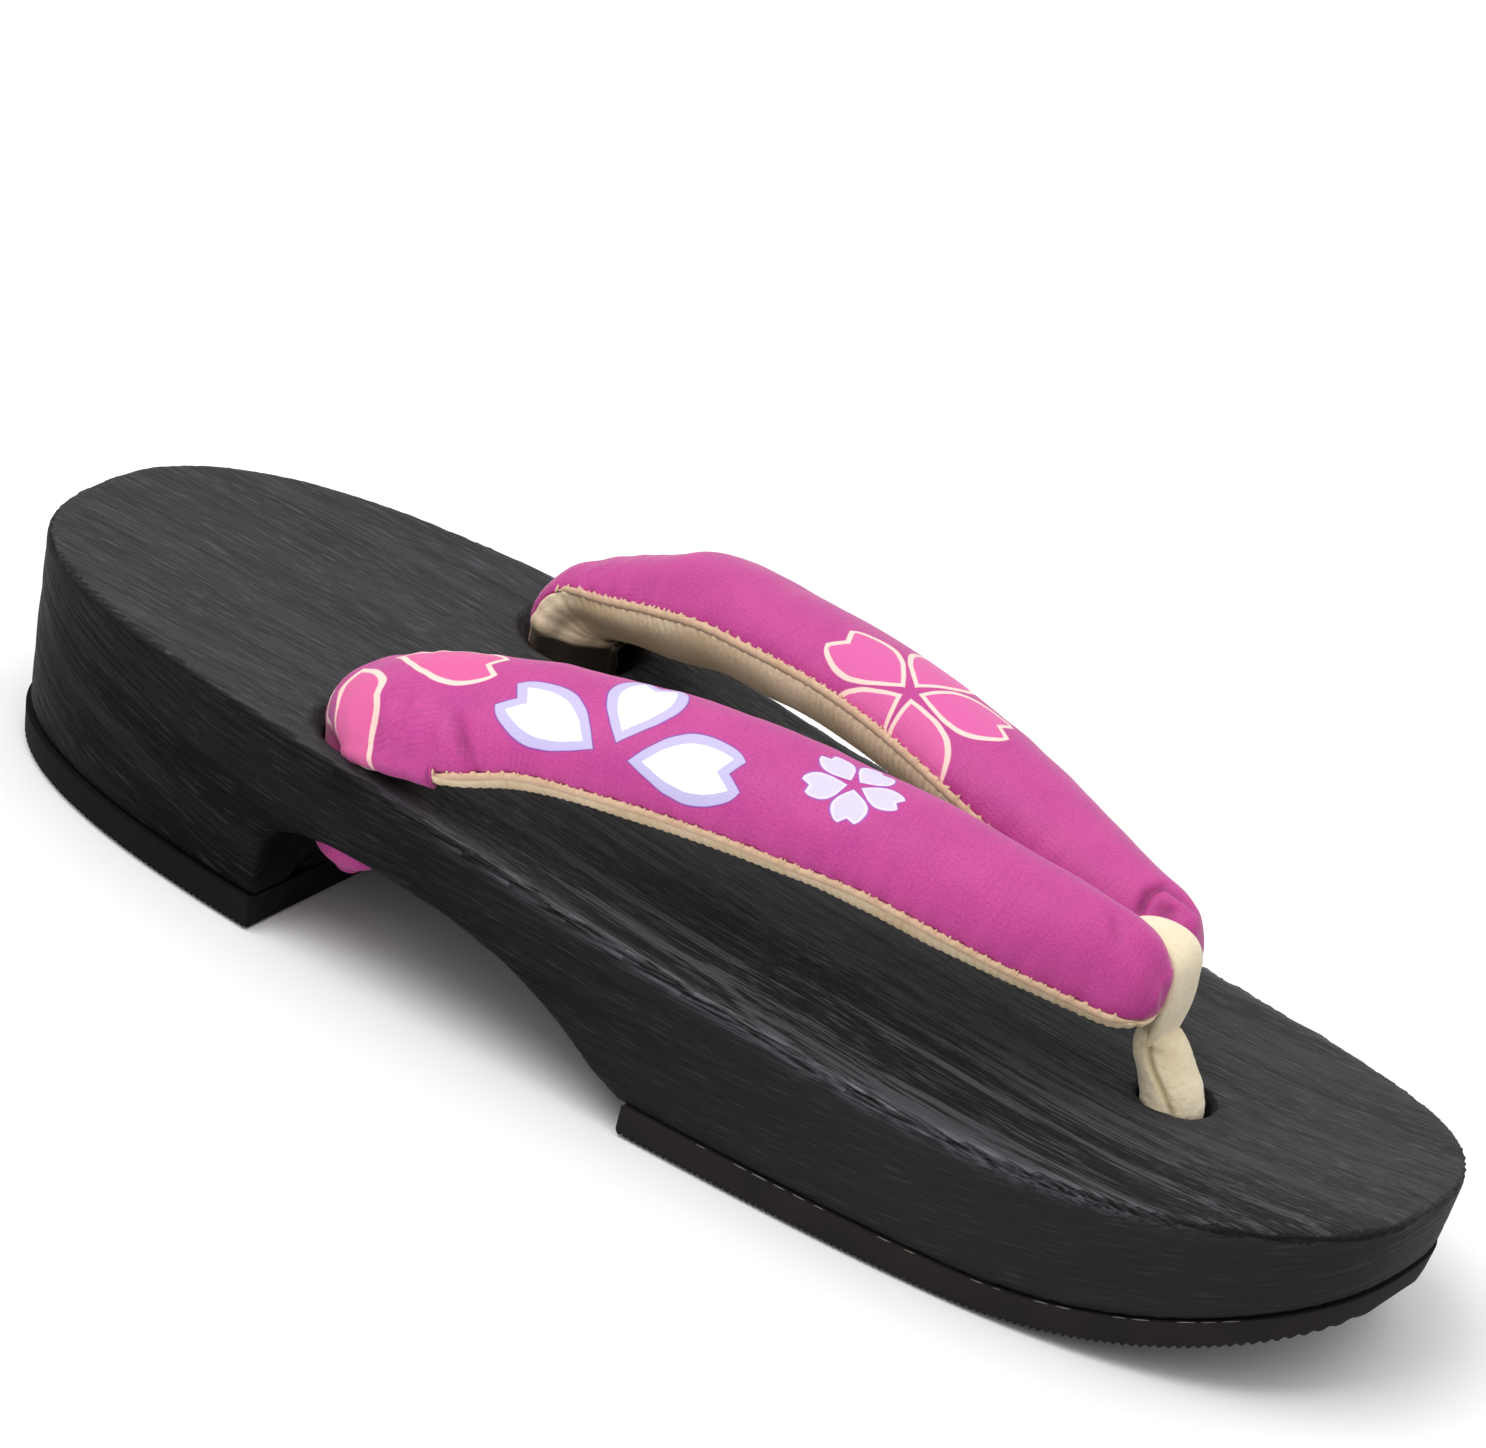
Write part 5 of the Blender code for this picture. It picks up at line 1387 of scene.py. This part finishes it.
def make_stage(looks):
    """Pale floor, a large soft light from above the heel, a pale sky, and the photograph's camera."""
    scene = bpy.context.scene
    scene.view_settings.view_transform = "Standard"
    mesh = bpy.data.meshes.new("studio_floor")
    square = ((-1, -1), (1, -1), (1, 1), (-1, 1))
    corners = [(FLOOR_REACH * x, FLOOR_REACH * y, -FLOOR_GAP) for x, y in square]
    mesh.from_pydata(corners, [], [(0, 1, 2, 3)])
    material, _tree, shader = new_material("matt_studio_paper", 0.9)
    shader.inputs["Base Color"].default_value = linear(looks.floor)
    new_piece(mesh, material)
    world = bpy.data.worlds.new("studio_sky")
    world.use_nodes = True
    background = world.node_tree.nodes["Background"]
    background.inputs["Color"].default_value = (1.0, 1.0, 1.0, 1.0)
    toward = add(world.node_tree, "ShaderNodeTexCoord").outputs["Object"]
    part = add(world.node_tree, "ShaderNodeSeparateXYZ", {0: toward})
    overhead = add(world.node_tree, "ShaderNodeMapRange",
                   {"Value": part.outputs["Z"], "From Max": 0.8, "To Min": 0.50})
    wire(world.node_tree, background, {"Strength": overhead})
    scene.world = world
    for name, place, size, power in (
        ("key", (-0.25, -0.40, 0.98), 0.75, looks.key_power),
        ("rim", (0.25, 0.75, 0.55), 0.6, looks.key_power * 0.10),
    ):
        light = bpy.data.lights.new(name, "AREA")
        light.size = size
        light.energy = power
        lamp = bpy.data.objects.new(name, light)
        lamp.matrix_world = aimed(Vector(place), Vector((0.0, 0.0, 0.02)))
        scene.collection.objects.link(lamp)
    lens = bpy.data.cameras.new("photo_camera")
    lens.sensor_width = SENSOR_WIDTH
    lens.lens = LENS
    lens.clip_end = 20.0
    camera = bpy.data.objects.new("photo_camera", lens)
    camera.matrix_world = photo_view()
    scene.collection.objects.link(camera)
    scene.camera = camera


def aimed(place, target):
    """A light's place, looking at a target."""
    return Matrix.Translation(place) @ (target - place).to_track_quat("-Z", "Y").to_matrix().to_4x4()


def photo_view():
    """Where the photograph was taken from, turned so that the object lies as it does in the image."""
    yaw, pitch, roll = (math.radians(a) for a in CAMERA_TURN)
    ahead = Vector((math.cos(pitch) * math.sin(yaw), math.cos(pitch) * math.cos(yaw), -math.sin(pitch)))
    level = ahead.cross(Vector((0, 0, 1))).normalized()
    above = level.cross(ahead)
    right = math.cos(roll) * level + math.sin(roll) * above
    up = -math.sin(roll) * level + math.cos(roll) * above
    sideways, down = ((a - b) / FOCAL_LENGTH for a, b in zip(IMAGE_MIDDLE, OPTICAL_CENTER))
    ahead = (ahead + right * sideways - up * down).normalized()
    right = (right - right.dot(ahead) * ahead).normalized()
    up = right.cross(ahead)
    turn = Matrix((right, up, -ahead)).transposed().to_4x4()
    return Matrix.Translation(CAMERA_PLACE) @ turn


class GETA_OT_deck(bpy.types.Operator):
    """Builds the fine mesh of the deck with its grain."""

    bl_idname = "geta.deck"
    bl_label = "Wooden deck"

    def execute(self, context):
        make_deck(context.scene.geta_looks)
        return {"FINISHED"}


class GETA_OT_pads(bpy.types.Operator):
    """Builds the heel and forefoot pads with their fine ribs."""

    bl_idname = "geta.pads"
    bl_label = "Rubber pads"

    def execute(self, context):
        make_pads(context.scene.geta_looks)
        return {"FINISHED"}


class GETA_OT_glue(bpy.types.Operator):
    """Builds the broken line of dried glue above the forefoot pad."""

    bl_idname = "geta.glue"
    bl_label = "Glue line"

    def execute(self, context):
        make_glue()
        return {"FINISHED"}


class GETA_OT_covers(bpy.types.Operator):
    """Builds the padded printed legs of the strap and the fold between them."""

    bl_idname = "geta.covers"
    bl_label = "Strap covers"

    def execute(self, context):
        make_covers(context.scene.geta_looks)
        return {"FINISHED"}


class GETA_OT_linings(bpy.types.Operator):
    """Builds the ribbed velvet under each leg."""

    bl_idname = "geta.linings"
    bl_label = "Linings"

    def execute(self, context):
        make_linings(context.scene.geta_looks)
        return {"FINISHED"}


class GETA_OT_seams(bpy.types.Operator):
    """Builds the turned edges and stitches along the strap."""

    bl_idname = "geta.seams"
    bl_label = "Seams"

    def execute(self, context):
        make_seams(context.scene.geta_looks)
        return {"FINISHED"}


class GETA_OT_toe_post(bpy.types.Operator):
    """Builds the fleece post with its loop and knot."""

    bl_idname = "geta.toe_post"
    bl_label = "Toe post"

    def execute(self, context):
        make_toe_post(context.scene.geta_looks)
        return {"FINISHED"}


class GETA_OT_stage(bpy.types.Operator):
    """Sets up the floor, the lights and the camera."""

    bl_idname = "geta.stage"
    bl_label = "Stage"

    def execute(self, context):
        make_stage(context.scene.geta_looks)
        return {"FINISHED"}


class GETA_PT_panel(bpy.types.Panel):
    """Buttons for each group of pieces."""

    bl_label = "Geta"
    bl_idname = "GETA_PT_panel"
    bl_space_type = "VIEW_3D"
    bl_region_type = "UI"
    bl_category = "Geta"

    def draw(self, context):
        for prop in GetaLooks.__annotations__:
            self.layout.prop(context.scene.geta_looks, prop)
        for name in ("deck", "pads", "glue", "covers", "linings", "seams", "toe_post", "stage"):
            self.layout.operator("geta." + name)


CLASSES = (
    GetaLooks, GETA_OT_deck, GETA_OT_pads, GETA_OT_glue, GETA_OT_covers, GETA_OT_linings, GETA_OT_seams,
    GETA_OT_toe_post, GETA_OT_stage, GETA_PT_panel,
)


def register():
    """Adds the classes and the settings to Blender."""
    for kind in CLASSES:
        bpy.utils.register_class(kind)
    bpy.types.Scene.geta_looks = bpy.props.PointerProperty(type=GetaLooks)


def unregister():
    """Takes them out again."""
    del bpy.types.Scene.geta_looks
    for kind in reversed(CLASSES):
        bpy.utils.unregister_class(kind)


def main():
    """Builds every group of pieces."""
    register()
    bpy.ops.geta.deck()
    bpy.ops.geta.pads()
    bpy.ops.geta.glue()
    bpy.ops.geta.covers()
    bpy.ops.geta.linings()
    bpy.ops.geta.seams()
    bpy.ops.geta.toe_post()
    bpy.ops.geta.stage()


if __name__ == "__main__":
    main()
